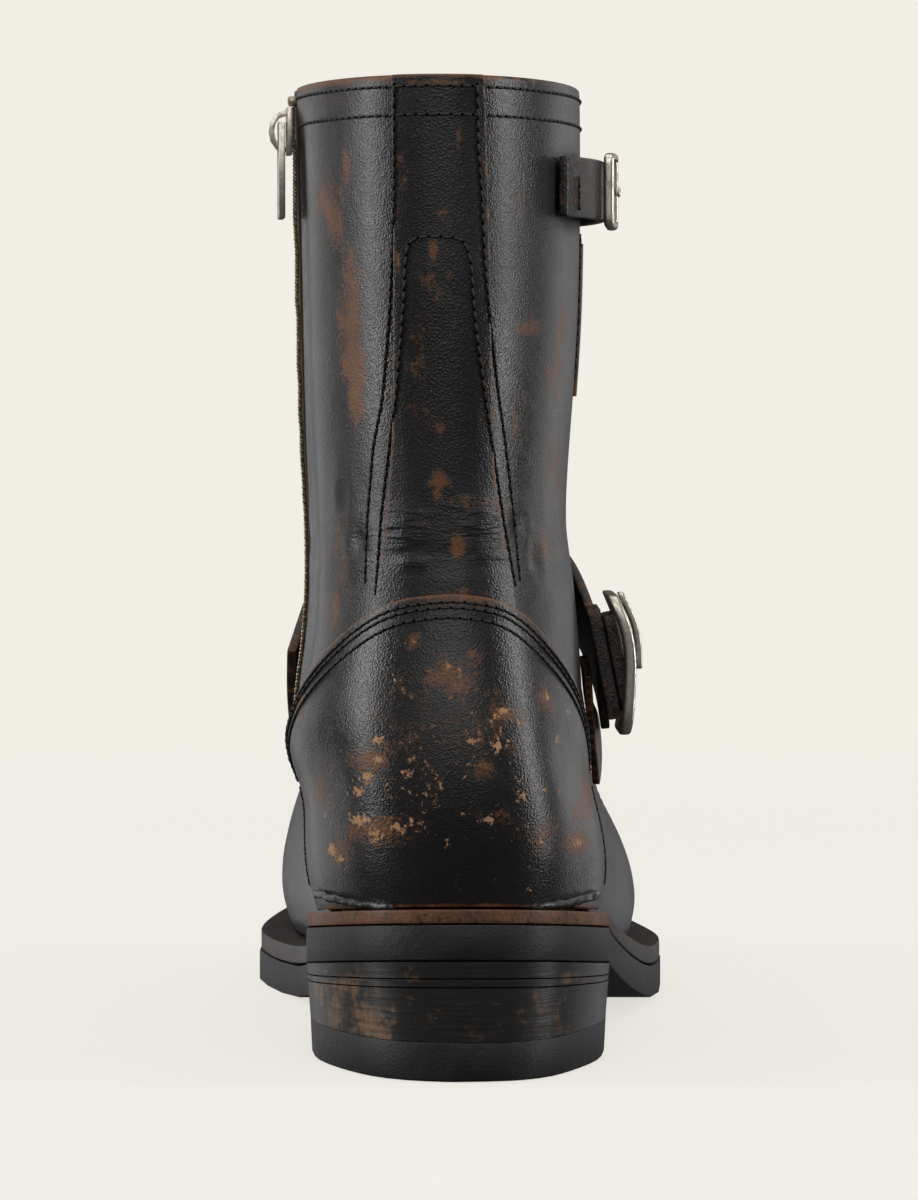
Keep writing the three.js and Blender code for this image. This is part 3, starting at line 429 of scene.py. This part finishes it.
def sewn(name, path, spacing=pitch):
    """A row of stitches along a line of places on the leather."""
    line = evenly(path, 0.8 * mm)
    line = [line[0]] + [sum(line[i - 1:i + 2], Vector()) / 3 for i in range(1, len(line) - 1)] + [line[-1]]
    guide = bpy.data.objects.new("guide", bpy.data.curves.new("guide", "CURVE"))
    guide.data.dimensions = "3D"
    spline = guide.data.splines.new("POLY")
    spline.points.add(len(line) - 1)
    for point, place in zip(spline.points, line):
        point.co = (*place, 1)
    bpy.context.scene.collection.objects.link(guide)
    row = bpy.data.objects.new(name, stitch_mesh.copy())
    bpy.context.scene.collection.objects.link(row)
    repeat = row.modifiers.new("row", "ARRAY")
    repeat.count = max(1, int(0.8 * (len(line) - 1) / spacing))
    repeat.use_relative_offset = False
    repeat.use_constant_offset = True
    repeat.constant_offset_displace = (spacing * mm, 0, 0)
    seam = row.modifiers.new("seam", "CURVE")
    seam.object = guide
    apply_all(row)
    bpy.ops.object.shade_smooth()
    bpy.data.objects.remove(guide)
    return finished(row, None, "root")


def seen(points, step=6):
    """A line drawn over the photograph, laid on the boot from the camera's place."""
    flat = evenly([Vector((x, y, 0)) for x, y in points], step)
    made = []
    for x, y, _ in flat:
        place, facing = leather.ray_cast(eye, (ahead * focal + Vector((x - 459, 0, 0)) + above * (600 - y)).normalized())[:2]
        if place:
            made.append(place + facing * 0.1 * mm)
    return made


def beside(points, side, step=3):
    """A line of y and z in mm, laid on one side of the boot: side is -1 for the inner side."""
    flat = evenly([Vector((y, z, 0)) for y, z in points], step)
    made = []
    for y, z, _ in flat:
        place, facing = leather.ray_cast(Vector((side * 0.2, y * mm, z * mm)), Vector((-side, 0, 0)))[:2]
        if place:
            made.append(place + facing * 0.1 * mm)
    return made


def cut_edge(name, path, thick, material):
    """The raised cut edge of a piece of leather, along a line of places."""
    line = evenly(path, 2 * mm)
    edge = bpy.data.objects.new(name, bpy.data.curves.new(name, "CURVE"))
    edge.data.dimensions = "3D"
    edge.data.bevel_depth = thick / 2 * mm
    edge.data.bevel_resolution = 2
    edge.data.use_fill_caps = True
    spline = edge.data.splines.new("POLY")
    spline.points.add(len(line) - 1)
    for point, place in zip(spline.points, line):
        point.co = (*place, 1)
    bpy.context.scene.collection.objects.link(edge)
    bpy.ops.object.select_all(action="DESELECT")
    edge.select_set(True)
    bpy.context.view_layer.objects.active = edge
    bpy.ops.object.convert(target="MESH")
    bpy.ops.object.shade_smooth()
    for key in ("rub", "chip", "crease"):
        painted(edge, key, lambda place: 0)
    painted(edge, "edge", lambda place: 0.75)
    return finished(edge, material, "root", slot="upper_leather")


leather = leather_tree(upper, *sheets)
rows = {
    "backstay_left": ((394, 84), (394, 200), (392, 260), (389, 318), (382, 400), (373, 448), (367.5, 516), (364.5, 596)),
    "backstay_right": ((477, 84), (478, 150), (481, 185), (484.6, 260), (491, 327), (499, 398), (506, 448), (513.5, 516), (521, 590)),
    "backstay_inner": ((375.5, 594), (381, 516), (389, 448), (396, 395), (401, 340), (404, 300), (405.4, 265), (407.5, 247),
                       (412, 239), (424, 236.5), (450, 237), (462, 240), (467, 248), (470.5, 262), (473, 300), (477, 340),
                       (485, 395), (493, 448), (503, 516), (516, 590)),
}
for name, points in rows.items():
    sewn("stitches_" + name, seen(points))
for name, level in (("rim", 223.3), ("facing", 216.9)):
    ring = []
    for i in range(121):
        turn = math.radians(200 + 344 * i / 120)
        way = Vector((math.cos(turn), math.sin(turn), 0))
        start = Vector((-4, -82, level)) * mm + way * 0.1
        place, facing = leather.ray_cast(start, -way)[:2]
        if place and (place - start).length < 0.09:
            ring.append(place + facing * 0.1 * mm)
    sewn("stitches_collar_" + name, ring)


def counter_row(below):
    """A line a little inside the counter's top edge, found from outside it, with both its front edges."""
    cup = leather_tree(sheets[0])
    top = []
    for i in range(61):
        turn = math.radians(-176 + 172 * i / 60)
        way = Vector((math.cos(turn), math.sin(turn), 0))
        low, high = 40 * mm, 125 * mm
        for _ in range(14):
            middle = (low + high) / 2
            hit = cup.ray_cast(Vector((-2 * mm, -88 * mm, middle)) + way * 0.1, -way, 0.09)[0]
            low, high = (middle, high) if hit else (low, middle)
        top.append((turn, low))
    line = []
    for i, (turn, level) in enumerate(top):
        (turn_a, level_a), (turn_b, level_b) = top[max(0, i - 1)], top[min(60, i + 1)]
        slope = (level_b - level_a) / ((turn_b - turn_a) * 0.045)
        way = Vector((math.cos(turn), math.sin(turn), 0))
        start = Vector((-2 * mm, -88 * mm, level - below * mm * math.sqrt(1 + slope * slope))) + way * 0.1
        place, facing = leather.ray_cast(start, -way)[:2]
        line.append(place + facing * 0.1 * mm)
    return line


for number, below in enumerate((1.7, 3.0, 5.2)):
    sewn(f"stitches_counter_{number}", counter_row(below))
for side, name in ((-1, "inner"), (1, "outer")):
    sewn("stitches_counter_front_" + name, beside(((-89, 62), (-89, 38)), side))
    sewn("stitches_counter_front_double_" + name, beside(((-91.3, 62), (-91.3, 38)), side))


def vamp_path(drop):
    """The vamp's top edge from the inner side over the instep to the outer side, some mm inside the vamp."""
    flank = [(y, z - drop) for y, z in vamp_line if -88 < y < 10]
    flank = [(-85, flank[0][1] - 2.4)] + flank
    inner, outer = beside(flank, -1), beside(flank, 1)
    inner = [p for p in inner if p.x < -9 * mm]
    outer = [p for p in outer if p.x > 5 * mm]
    bridge = []
    for i in range(1, 8):
        over = inner[-1].lerp(outer[-1], i / 8)
        place, facing = leather.ray_cast(over + Vector((0, 0.06, 0.05)), Vector((0, -0.06, -0.05)).normalized())[:2]
        bridge.append(place + facing * 0.1 * mm)
    return inner + bridge + outer[::-1]


seat = []
for i in range(61):
    turn = math.radians(-146 + 112 * i / 60)
    way = Vector((math.cos(turn), math.sin(turn), 0))
    place, facing = leather.ray_cast(Vector((-2, -88, 38.8)) * mm + way * 0.1, -way)[:2]
    seat.append(place + way * 0.5 * mm)
frayed = cut_edge("frayed_seat_edge", seat, 2, upper_leather)
for vertex in frayed.data.vertices:
    vertex.co += noise.noise_vector(vertex.co * 900) * 0.7 * mm
painted(frayed, "edge", lambda place: 0)
cut_edge("vamp_cut_edge", vamp_path(0), 0.9, upper_leather)
sewn("stitches_vamp_outer", vamp_path(2.2))
sewn("stitches_vamp_inner", vamp_path(5))
side_seam = beside(((-83, 190), (-83, 175), (-82, 160), (-81, 154)), 1)
cut_edge("side_seam_edge", side_seam, 1.5, upper_leather)
sewn("stitches_side_seam", beside(((-86, 192), (-86, 175), (-85, 160), (-84, 155)), 1))
sewn("stitches_side_seam_front", beside(((-79.5, 192), (-79.5, 175), (-78.5, 160), (-77.5, 155)), 1))


# Zip: antique brass teeth on a woven black tape, sewn behind a slit on the inner side, with a slider at the top
# whose pull hangs from its bridge.
tape_cloth, tree, shader, place = surface("woven_zip_tape")
weave = put(tree, "TexWave", {"bands_direction": "Z"}, {"Vector": place, "Scale": 1 / (0.9 * mm) / 3, "Distortion": 1}).outputs["Fac"]
nap = put(tree, "Bump", {}, {"Height": weave, "Strength": 0.5, "Distance": 0.2 * mm}).outputs["Normal"]
tree.links.new(nap, shader.inputs["Normal"])
shader.inputs["Base Color"].default_value = linear("#161516")
shader.inputs["Roughness"].default_value = 0.85
finished(copy_of("zip_tape", "zip_tape_woven"), tape_cloth, "root", "zip_tape", slot="zip_cloth")


def old_metal(name, bright, dark, rough):
    """Plated metal gone dull: bright where it is rubbed, dark in a fine mottle."""
    material, tree, shader, place = surface(name)
    mottle = put(tree, "TexNoise", {}, {"Vector": place, "Scale": 420, "Detail": 6, "Roughness": 0.75}).outputs["Fac"]
    patina = put(tree, "MapRange", {}, {"Value": mottle, "From Min": 0.46, "From Max": 0.72}).outputs[0]
    tone = put(tree, "Mix", {"data_type": "RGBA"}, {0: patina, 6: linear(bright), 7: linear(dark)}).outputs[2]
    gloss = put(tree, "MapRange", {}, {"Value": patina, "To Min": rough, "To Max": rough + 0.25}).outputs[0]
    pits = put(tree, "Bump", {"invert": True}, {"Height": patina, "Strength": 0.3, "Distance": 0.08 * mm}).outputs["Normal"]
    for value, socket in ((tone, "Base Color"), (gloss, "Roughness"), (pits, "Normal")):
        tree.links.new(value, shader.inputs[socket])
    shader.inputs["Metallic"].default_value = 1
    return material


brass = old_metal("antique_brass_zip", "#b5a68a", "#5a4f3f", 0.35)
nickel = old_metal("antique_nickel_cast", "#d6cfc2", "#877d6f", 0.3)
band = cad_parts["zip_teeth"].data
heights = [v.co.z for v in band.vertices]
low, high = min(heights), max(heights)


def band_at(level):
    """Where the middle of the zip is at a height, set 0.6 mm further out."""
    weights = [math.exp(-((v.co.z - level) / (4 * mm)) ** 2) for v in band.vertices]
    middle = sum((v.co * w for v, w in zip(band.vertices, weights)), Vector()) / sum(weights)
    middle.z = level
    middle.x -= 0.6 * mm
    return middle


bpy.ops.object.select_all(action="DESELECT")
bpy.ops.mesh.primitive_cube_add(size=1, scale=(1.0 * mm, 2.5 * mm, 0.85 * mm))
tooth = bpy.context.object
tooth.name = "zip_tooth"
bpy.ops.object.transform_apply(location=False, rotation=False, scale=True)
rounded(tooth, 0.22, 1)
row = [tooth]
count = int((high - low) / (0.85 * mm))
track = [band_at(low + (high - low) * i / 40) for i in range(41)]
for i in range(1, count):
    share = 40 * i / count
    step = min(39, int(share))
    middle = track[step].lerp(track[step + 1], share - step)
    run = (track[min(40, step + 2)] - track[max(0, step - 1)]).normalized()
    outward = Vector((-1, 0, 0.05 if middle.z > 0.1 else 0.3))
    outward = (outward - run * outward.dot(run)).normalized()
    across = run.cross(outward).normalized()
    side = 0.55 if i % 2 else -0.55
    other = bpy.data.objects.new("tooth", tooth.data.copy())
    bpy.context.scene.collection.objects.link(other)
    turn = Matrix((outward, across, run)).transposed().to_4x4()
    other.data.transform(Matrix.Translation(middle + across * side * mm) @ turn)
    row.append(other)
bpy.ops.object.select_all(action="DESELECT")
for piece in row[1:]:
    piece.select_set(True)
bpy.context.view_layer.objects.active = row[1]
bpy.data.objects.remove(tooth)
bpy.ops.object.join()
teeth = bpy.context.object
teeth.name = "zip_teeth_brass"
finished(teeth, brass, "root", "zip_teeth", slot="zip_metal")
for name, level in (("top", 223.0), ("bottom", 68.6)):
    bpy.ops.object.select_all(action="DESELECT")
    bpy.ops.mesh.primitive_cube_add(size=1, location=band_at(level * mm), scale=(2.4 * mm, 5.4 * mm, 2.2 * mm))
    stop = bpy.context.object
    stop.name = f"zip_{name}_stop"
    bpy.ops.object.transform_apply()
    finished(rounded(stop, 0.6, 2), brass, "root", slot="zip_metal")
finished(rounded(copy_of("zip_slider", "zip_slider_cast"), 0.3, 2), nickel, "root", "zip_slider", slot="zip_metal")
finished(rounded(copy_of("zip_pull", "zip_pull_tab"), 0.35, 2), nickel, "zip_pull", "zip_pull", slot="zip_metal")


# Insole: a board of vegetable-tanned leather that the upper is lasted round and sewn to. It lies in the bottom
# of the boot and shows only from above, past the collar: smooth, pale brown, greyed where a foot has stood.
board, tree, shader, place = surface("vegetable_tanned_insole_board")
wear = put(tree, "TexNoise", {}, {"Vector": place, "Scale": 45, "Detail": 4}).outputs["Fac"]
tone = put(tree, "ValToRGB", {}, {"Fac": wear})
tone.color_ramp.elements[0].color = linear("#5f4630")
tone.color_ramp.elements[1].color = linear("#a07c55")
fibre = put(tree, "TexNoise", {}, {"Vector": place, "Scale": 1400, "Detail": 3}).outputs["Fac"]
nap = put(tree, "Bump", {}, {"Height": fibre, "Strength": 0.3, "Distance": 0.2 * mm}).outputs["Normal"]
tree.links.new(tone.outputs["Color"], shader.inputs["Base Color"])
tree.links.new(nap, shader.inputs["Normal"])
shader.inputs["Roughness"].default_value = 0.7
insole = finished(rounded(copy_of("insole", "insole_board"), 0.8, 2), board, "root", "insole", slot="insole_leather")


# Welt: a strip of leather sewn to the upper and insole all round and stitched down to the outsole. Its top
# face is napped and its edge inked black, worn brown along the corner.
welt_leather = pull_up_leather("napped_welt_leather_edge_inked", "#121010", "#221d1b", 0.7, 0.5)
welt = copy_of("welt", "welt_strip")
corner = near([v.co.copy() for v in welt.data.vertices], 2.4)
rounded(welt, 0.35, 2, 1)
painted(welt, "rub", lambda place: 0.78 if place.y < -80 * mm else 0.25)
painted(welt, "chip", lambda place: 0)
painted(welt, "edge", lambda place: 0.85 * corner(place))
painted(welt, "crease", lambda place: 0)
finished(welt, welt_leather, "root", "welt", slot="welt_leather")


# Outsole: one sheet of dense black rubber under the whole foot, cemented and stitched to the welt, its edge
# trimmed by a knife and left matte with a fine nap.
rubber, tree, shader, place = surface("black_sole_rubber_buffed")
dust = put(tree, "TexNoise", {}, {"Vector": place, "Scale": 70, "Detail": 6, "Roughness": 0.7}).outputs["Fac"]
tone = put(tree, "ValToRGB", {}, {"Fac": dust})
tone.color_ramp.elements[0].color = linear("#0f0e0e")
tone.color_ramp.elements[1].color = linear("#221e1c")
buff = put(tree, "TexNoise", {}, {"Vector": place, "Scale": 1500, "Detail": 4}).outputs["Fac"]
lumps = put(tree, "TexNoise", {}, {"Vector": place, "Scale": 260, "Detail": 3}).outputs["Fac"]
relief = put(tree, "Math", {"operation": "MULTIPLY_ADD"}, {0: lumps, 1: 1.2, 2: buff}).outputs[0]
nap = put(tree, "Bump", {}, {"Height": relief, "Strength": 0.5, "Distance": 0.25 * mm}).outputs["Normal"]
tree.links.new(tone.outputs["Color"], shader.inputs["Base Color"])
tree.links.new(nap, shader.inputs["Normal"])
shader.inputs["Roughness"].default_value = 0.58
outsole = finished(rounded(copy_of("outsole", "outsole_rubber"), 0.35, 2), rubber, "root", "outsole", slot="sole_rubber")


# Heel: three lifts of stacked sole leather, nailed and glued, sanded flush and inked, with brown showing where
# the ink has worn, on a top lift of the same rubber as the outsole.
stack, tree, shader, place = surface("stacked_heel_leather_inked")
layers = put(tree, "Mapping", {}, {"Vector": place, "Scale": (60, 60, 1100)}).outputs["Vector"]
plies = put(tree, "TexNoise", {}, {"Vector": layers, "Scale": 1, "Detail": 3}).outputs["Fac"]
patch = put(tree, "TexNoise", {}, {"Vector": place, "Scale": 210, "Detail": 7, "Roughness": 0.75}).outputs["Fac"]
read = put(tree, "Attribute", {"attribute_name": "rub"}, {}).outputs["Fac"]
worn = put(tree, "Math", {"operation": "MULTIPLY_ADD"}, {0: read, 1: 0.7, 2: -0.95}).outputs[0]
worn = put(tree, "Math", {"operation": "MULTIPLY_ADD"}, {0: patch, 1: 1.9, 2: worn}).outputs[0]
worn = put(tree, "Math", {"operation": "MULTIPLY_ADD"}, {0: plies, 1: 0.35, 2: worn}).outputs[0]
worn = put(tree, "MapRange", {"interpolation_type": "SMOOTHSTEP"}, {"Value": worn, "From Min": 0.52, "From Max": 0.95}).outputs[0]
brown = put(tree, "Mix", {"data_type": "RGBA"}, {0: plies, 6: linear("#4b3525"), 7: linear("#93714f")}).outputs[2]
ink = put(tree, "Mix", {"data_type": "RGBA"}, {0: worn, 6: linear("#1c1918"), 7: brown}).outputs[2]
relief = put(tree, "Bump", {}, {"Height": plies, "Strength": 0.5, "Distance": 0.2 * mm}).outputs["Normal"]
tree.links.new(ink, shader.inputs["Base Color"])
tree.links.new(relief, shader.inputs["Normal"])
shader.inputs["Roughness"].default_value = 0.45

heel_rubs = (
    (372, 1015, 30, 34, 1.0), (340, 985, 36, 22, 0.9), (375, 1035, 34, 14, 1.0), (333, 1030, 24, 18, 0.8),
    (415, 975, 24, 12, 0.8), (433, 995, 20, 16, 0.8), (463, 1003, 16, 12, 0.9), (420, 1025, 30, 18, 0.6),
    (520, 1025, 24, 26, 0.85), (545, 995, 26, 18, 0.8), (575, 975, 18, 10, 0.9), (560, 1030, 24, 18, 0.8),
    (475, 1040, 36, 9, 0.6), (590, 1005, 18, 30, 0.6), (500, 985, 20, 10, 0.5),
)
for node in ("heel_lift_lower", "heel_lift_middle", "heel_lift_upper"):
    lift = rounded(copy_of(node, node.replace("heel_lift", "stacked_lift")), 0, 0)
    painted(lift, "rub", lambda place: weight_at(place, heel_rubs))
    finished(lift, stack, "root", node, slot="heel_leather")
top_lift = finished(rounded(copy_of("top_lift", "top_lift_rubber"), 0.6, 2), rubber, "root", "top_lift", slot="sole_rubber")


# Straps: two bands of the same leather, cut with raw edges: one over the instep, one round the outer side of the
# collar. Each runs through a frame buckle on the outer side. A short strap sewn to the sole seam holds the frame.
strap_leather = pull_up_leather("pull_up_strap_leather_raw_edge", "#121010", "#1f1b1b", grain_size, 0.4)


def beside_shaft(y, z):
    """How far out the leather of the shaft lies on the outer side."""
    return leather.ray_cast(Vector((0.2, y, z)), Vector((-1, 0, 0)))[0].x


for node in ("instep_strap", "buckle_strap", "top_strap"):
    strap = copy_of(node, node.replace("strap", "band"))
    thin = []
    for face in strap.data.polygons:
        corners = [strap.data.vertices[i].co for i in face.vertices]
        sides = list(zip(corners, corners[1:] + corners[:1]))
        if min((a - b).length for a, b in sides) < 2.6 * mm:
            thin += [a.lerp(b, t / 5) for a, b in sides for t in range(5)]
    rounded(strap, 0.5, 2, 2)
    for vertex in strap.data.vertices if node == "top_strap" else ():
        reach = 13 * mm * min(1, max(0, (-84 * mm - vertex.co.y) / (22 * mm)))
        off = vertex.co.x - beside_shaft(vertex.co.y, vertex.co.z)
        vertex.co.y -= reach
        vertex.co.x = beside_shaft(vertex.co.y, vertex.co.z) + off
    painted(strap, "rub", lambda place: 0.25)
    painted(strap, "chip", lambda place: 0)
    painted(strap, "edge", near(thin, 1.6))
    painted(strap, "crease", lambda place: 0)
    finished(strap, strap_leather, "root", node, slot="strap_leather")
    if node == "top_strap":
        leather = leather_tree(strap)
        sewn("stitches_top_strap", beside([(strap_y, z) for strap_y, z in ((-113, 197), (-113, 207))], 1, 1))
for number, (out, wide, tall) in enumerate(((34.8, 25, 27), (38.4, 21, 24))):
    bpy.ops.object.select_all(action="DESELECT")
    bpy.ops.mesh.primitive_cube_add(size=1, location=(out * mm, -55 * mm, 90 * mm), scale=(3.3 * mm, wide * mm, tall * mm))
    turned = bpy.context.object
    turned.name = f"strap_turned_end_{number}"
    bpy.ops.transform.rotate(value=0.2, orient_axis="Y", center_override=(out * mm, -55 * mm, 90 * mm))
    bpy.ops.object.transform_apply()
    cuts = near([v.co.copy() for v in turned.data.vertices], 6)
    bpy.ops.object.mode_set(mode="EDIT")
    bpy.ops.mesh.subdivide(number_cuts=5)
    bpy.ops.object.mode_set(mode="OBJECT")
    rounded(turned, 0.6, 2)
    for key, value in (("rub", 0.3), ("chip", 0), ("crease", 0)):
        painted(turned, key, lambda place: value)
    painted(turned, "edge", lambda place: 0.8 * cuts(place))
    finished(turned, strap_leather, "root", slot="strap_leather")


# Buckles: cast frame buckles with a middle bar and one prong each, plated nickel and gone dull. Their straps are
# folded round the middle bar.
for node in ("instep_buckle", "top_buckle", "instep_prong", "top_prong"):
    piece = rounded(copy_of(node, node + "_cast"), 0.7 if "buckle" in node else 0.5, 2, 1)
    if node == "top_prong":
        piece.data.transform(Matrix.Translation((-1.5 * mm, 0, 0)))
    finished(piece, nickel, "root", node, slot="buckle_metal")


# Floor and light: a pale sweep, two tall soft boxes either side of the camera, one overhead and two behind the
# boot for the rims of light along its sides.
sweep, tree, shader, place = surface("pale_studio_sweep")
away = put(tree, "VectorMath", {"operation": "LENGTH"}, {0: place}).outputs["Value"]
glow = put(tree, "MapRange", {"interpolation_type": "SMOOTHSTEP"},
           {"Value": away, "From Min": 0.25, "From Max": 1.2, "To Min": 0.8, "To Max": 1.0}).outputs[0]
paper = put(tree, "MapRange", {"interpolation_type": "SMOOTHSTEP"},
            {"Value": away, "From Min": 0.25, "From Max": 1.2, "To Min": 0.2, "To Max": 0.0}).outputs[0]
tree.links.new(glow, shader.inputs["Emission Strength"])
tree.links.new(paper, shader.inputs["Base Color"])
shader.inputs["Roughness"].default_value = 0.9
shader.inputs["Specular IOR Level"].default_value = 0
shader.inputs["Emission Color"].default_value = linear("#f1eee6")
bpy.ops.object.select_all(action="DESELECT")
bpy.ops.mesh.primitive_circle_add(vertices=96, radius=30, fill_type="NGON", location=(0, 0, -0.0002))
floor = bpy.context.object
floor.name = "floor"
floor.data.materials.append(sweep)
floor.visible_glossy = floor.visible_diffuse = False

world = bpy.data.worlds.new("studio")
world.use_nodes = True
bpy.context.scene.world = world
tree = world.node_tree
back = tree.nodes["Background"]
ray = put(tree, "LightPath", {}, {}).outputs["Is Camera Ray"]
tone = put(tree, "Mix", {"data_type": "RGBA"}, {0: ray, 6: (0.08, 0.08, 0.084, 1), 7: linear("#f1eee6")}).outputs[2]
tree.links.new(tone, back.inputs["Color"])


def soft_box(name, angle, away, height, wide, tall, power):
    """A rectangular light round the boot that faces its middle. Angle 0 is behind the camera."""
    lamp = bpy.data.lights.new(name, "AREA")
    lamp.shape = "RECTANGLE"
    lamp.size = wide
    lamp.size_y = tall
    lamp.energy = power
    box = bpy.data.objects.new(name, lamp)
    bpy.context.scene.collection.objects.link(box)
    turn = math.radians(angle)
    box.location = Vector((math.sin(turn) * away, -math.cos(turn) * away, height))
    aim = Vector((0, -0.05, 0.12)) - box.location
    box.rotation_euler = aim.to_track_quat("-Z", "Y").to_euler()


soft_box("box_left", -86, 1.5, 0.35, 0.26, 1.2, 14)
soft_box("box_right", 86, 1.5, 0.35, 0.26, 1.2, 12)
soft_box("box_front", 0, 1.7, 1.0, 1.8, 1.2, 11)
soft_box("box_over", 0, 0.2, 1.9, 1.8, 1.8, 18)
soft_box("rim_left", -146, 1.5, 0.3, 0.3, 1.4, 2.4)
soft_box("rim_right", 146, 1.5, 0.3, 0.3, 1.4, 2.2)

# Camera: straight behind the boot, a little above its middle, level with the photograph's horizon.
lens = bpy.data.cameras.new("camera")
lens.sensor_fit = "VERTICAL"
lens.sensor_height = 36
lens.lens = 156.0
camera = bpy.data.objects.new("camera", lens)
bpy.context.scene.collection.objects.link(camera)
camera.location = eye
camera.rotation_euler = (math.radians(90 - 2.148), 0, 0)
bpy.context.scene.camera = camera
bpy.context.scene.view_settings.view_transform = "Standard"
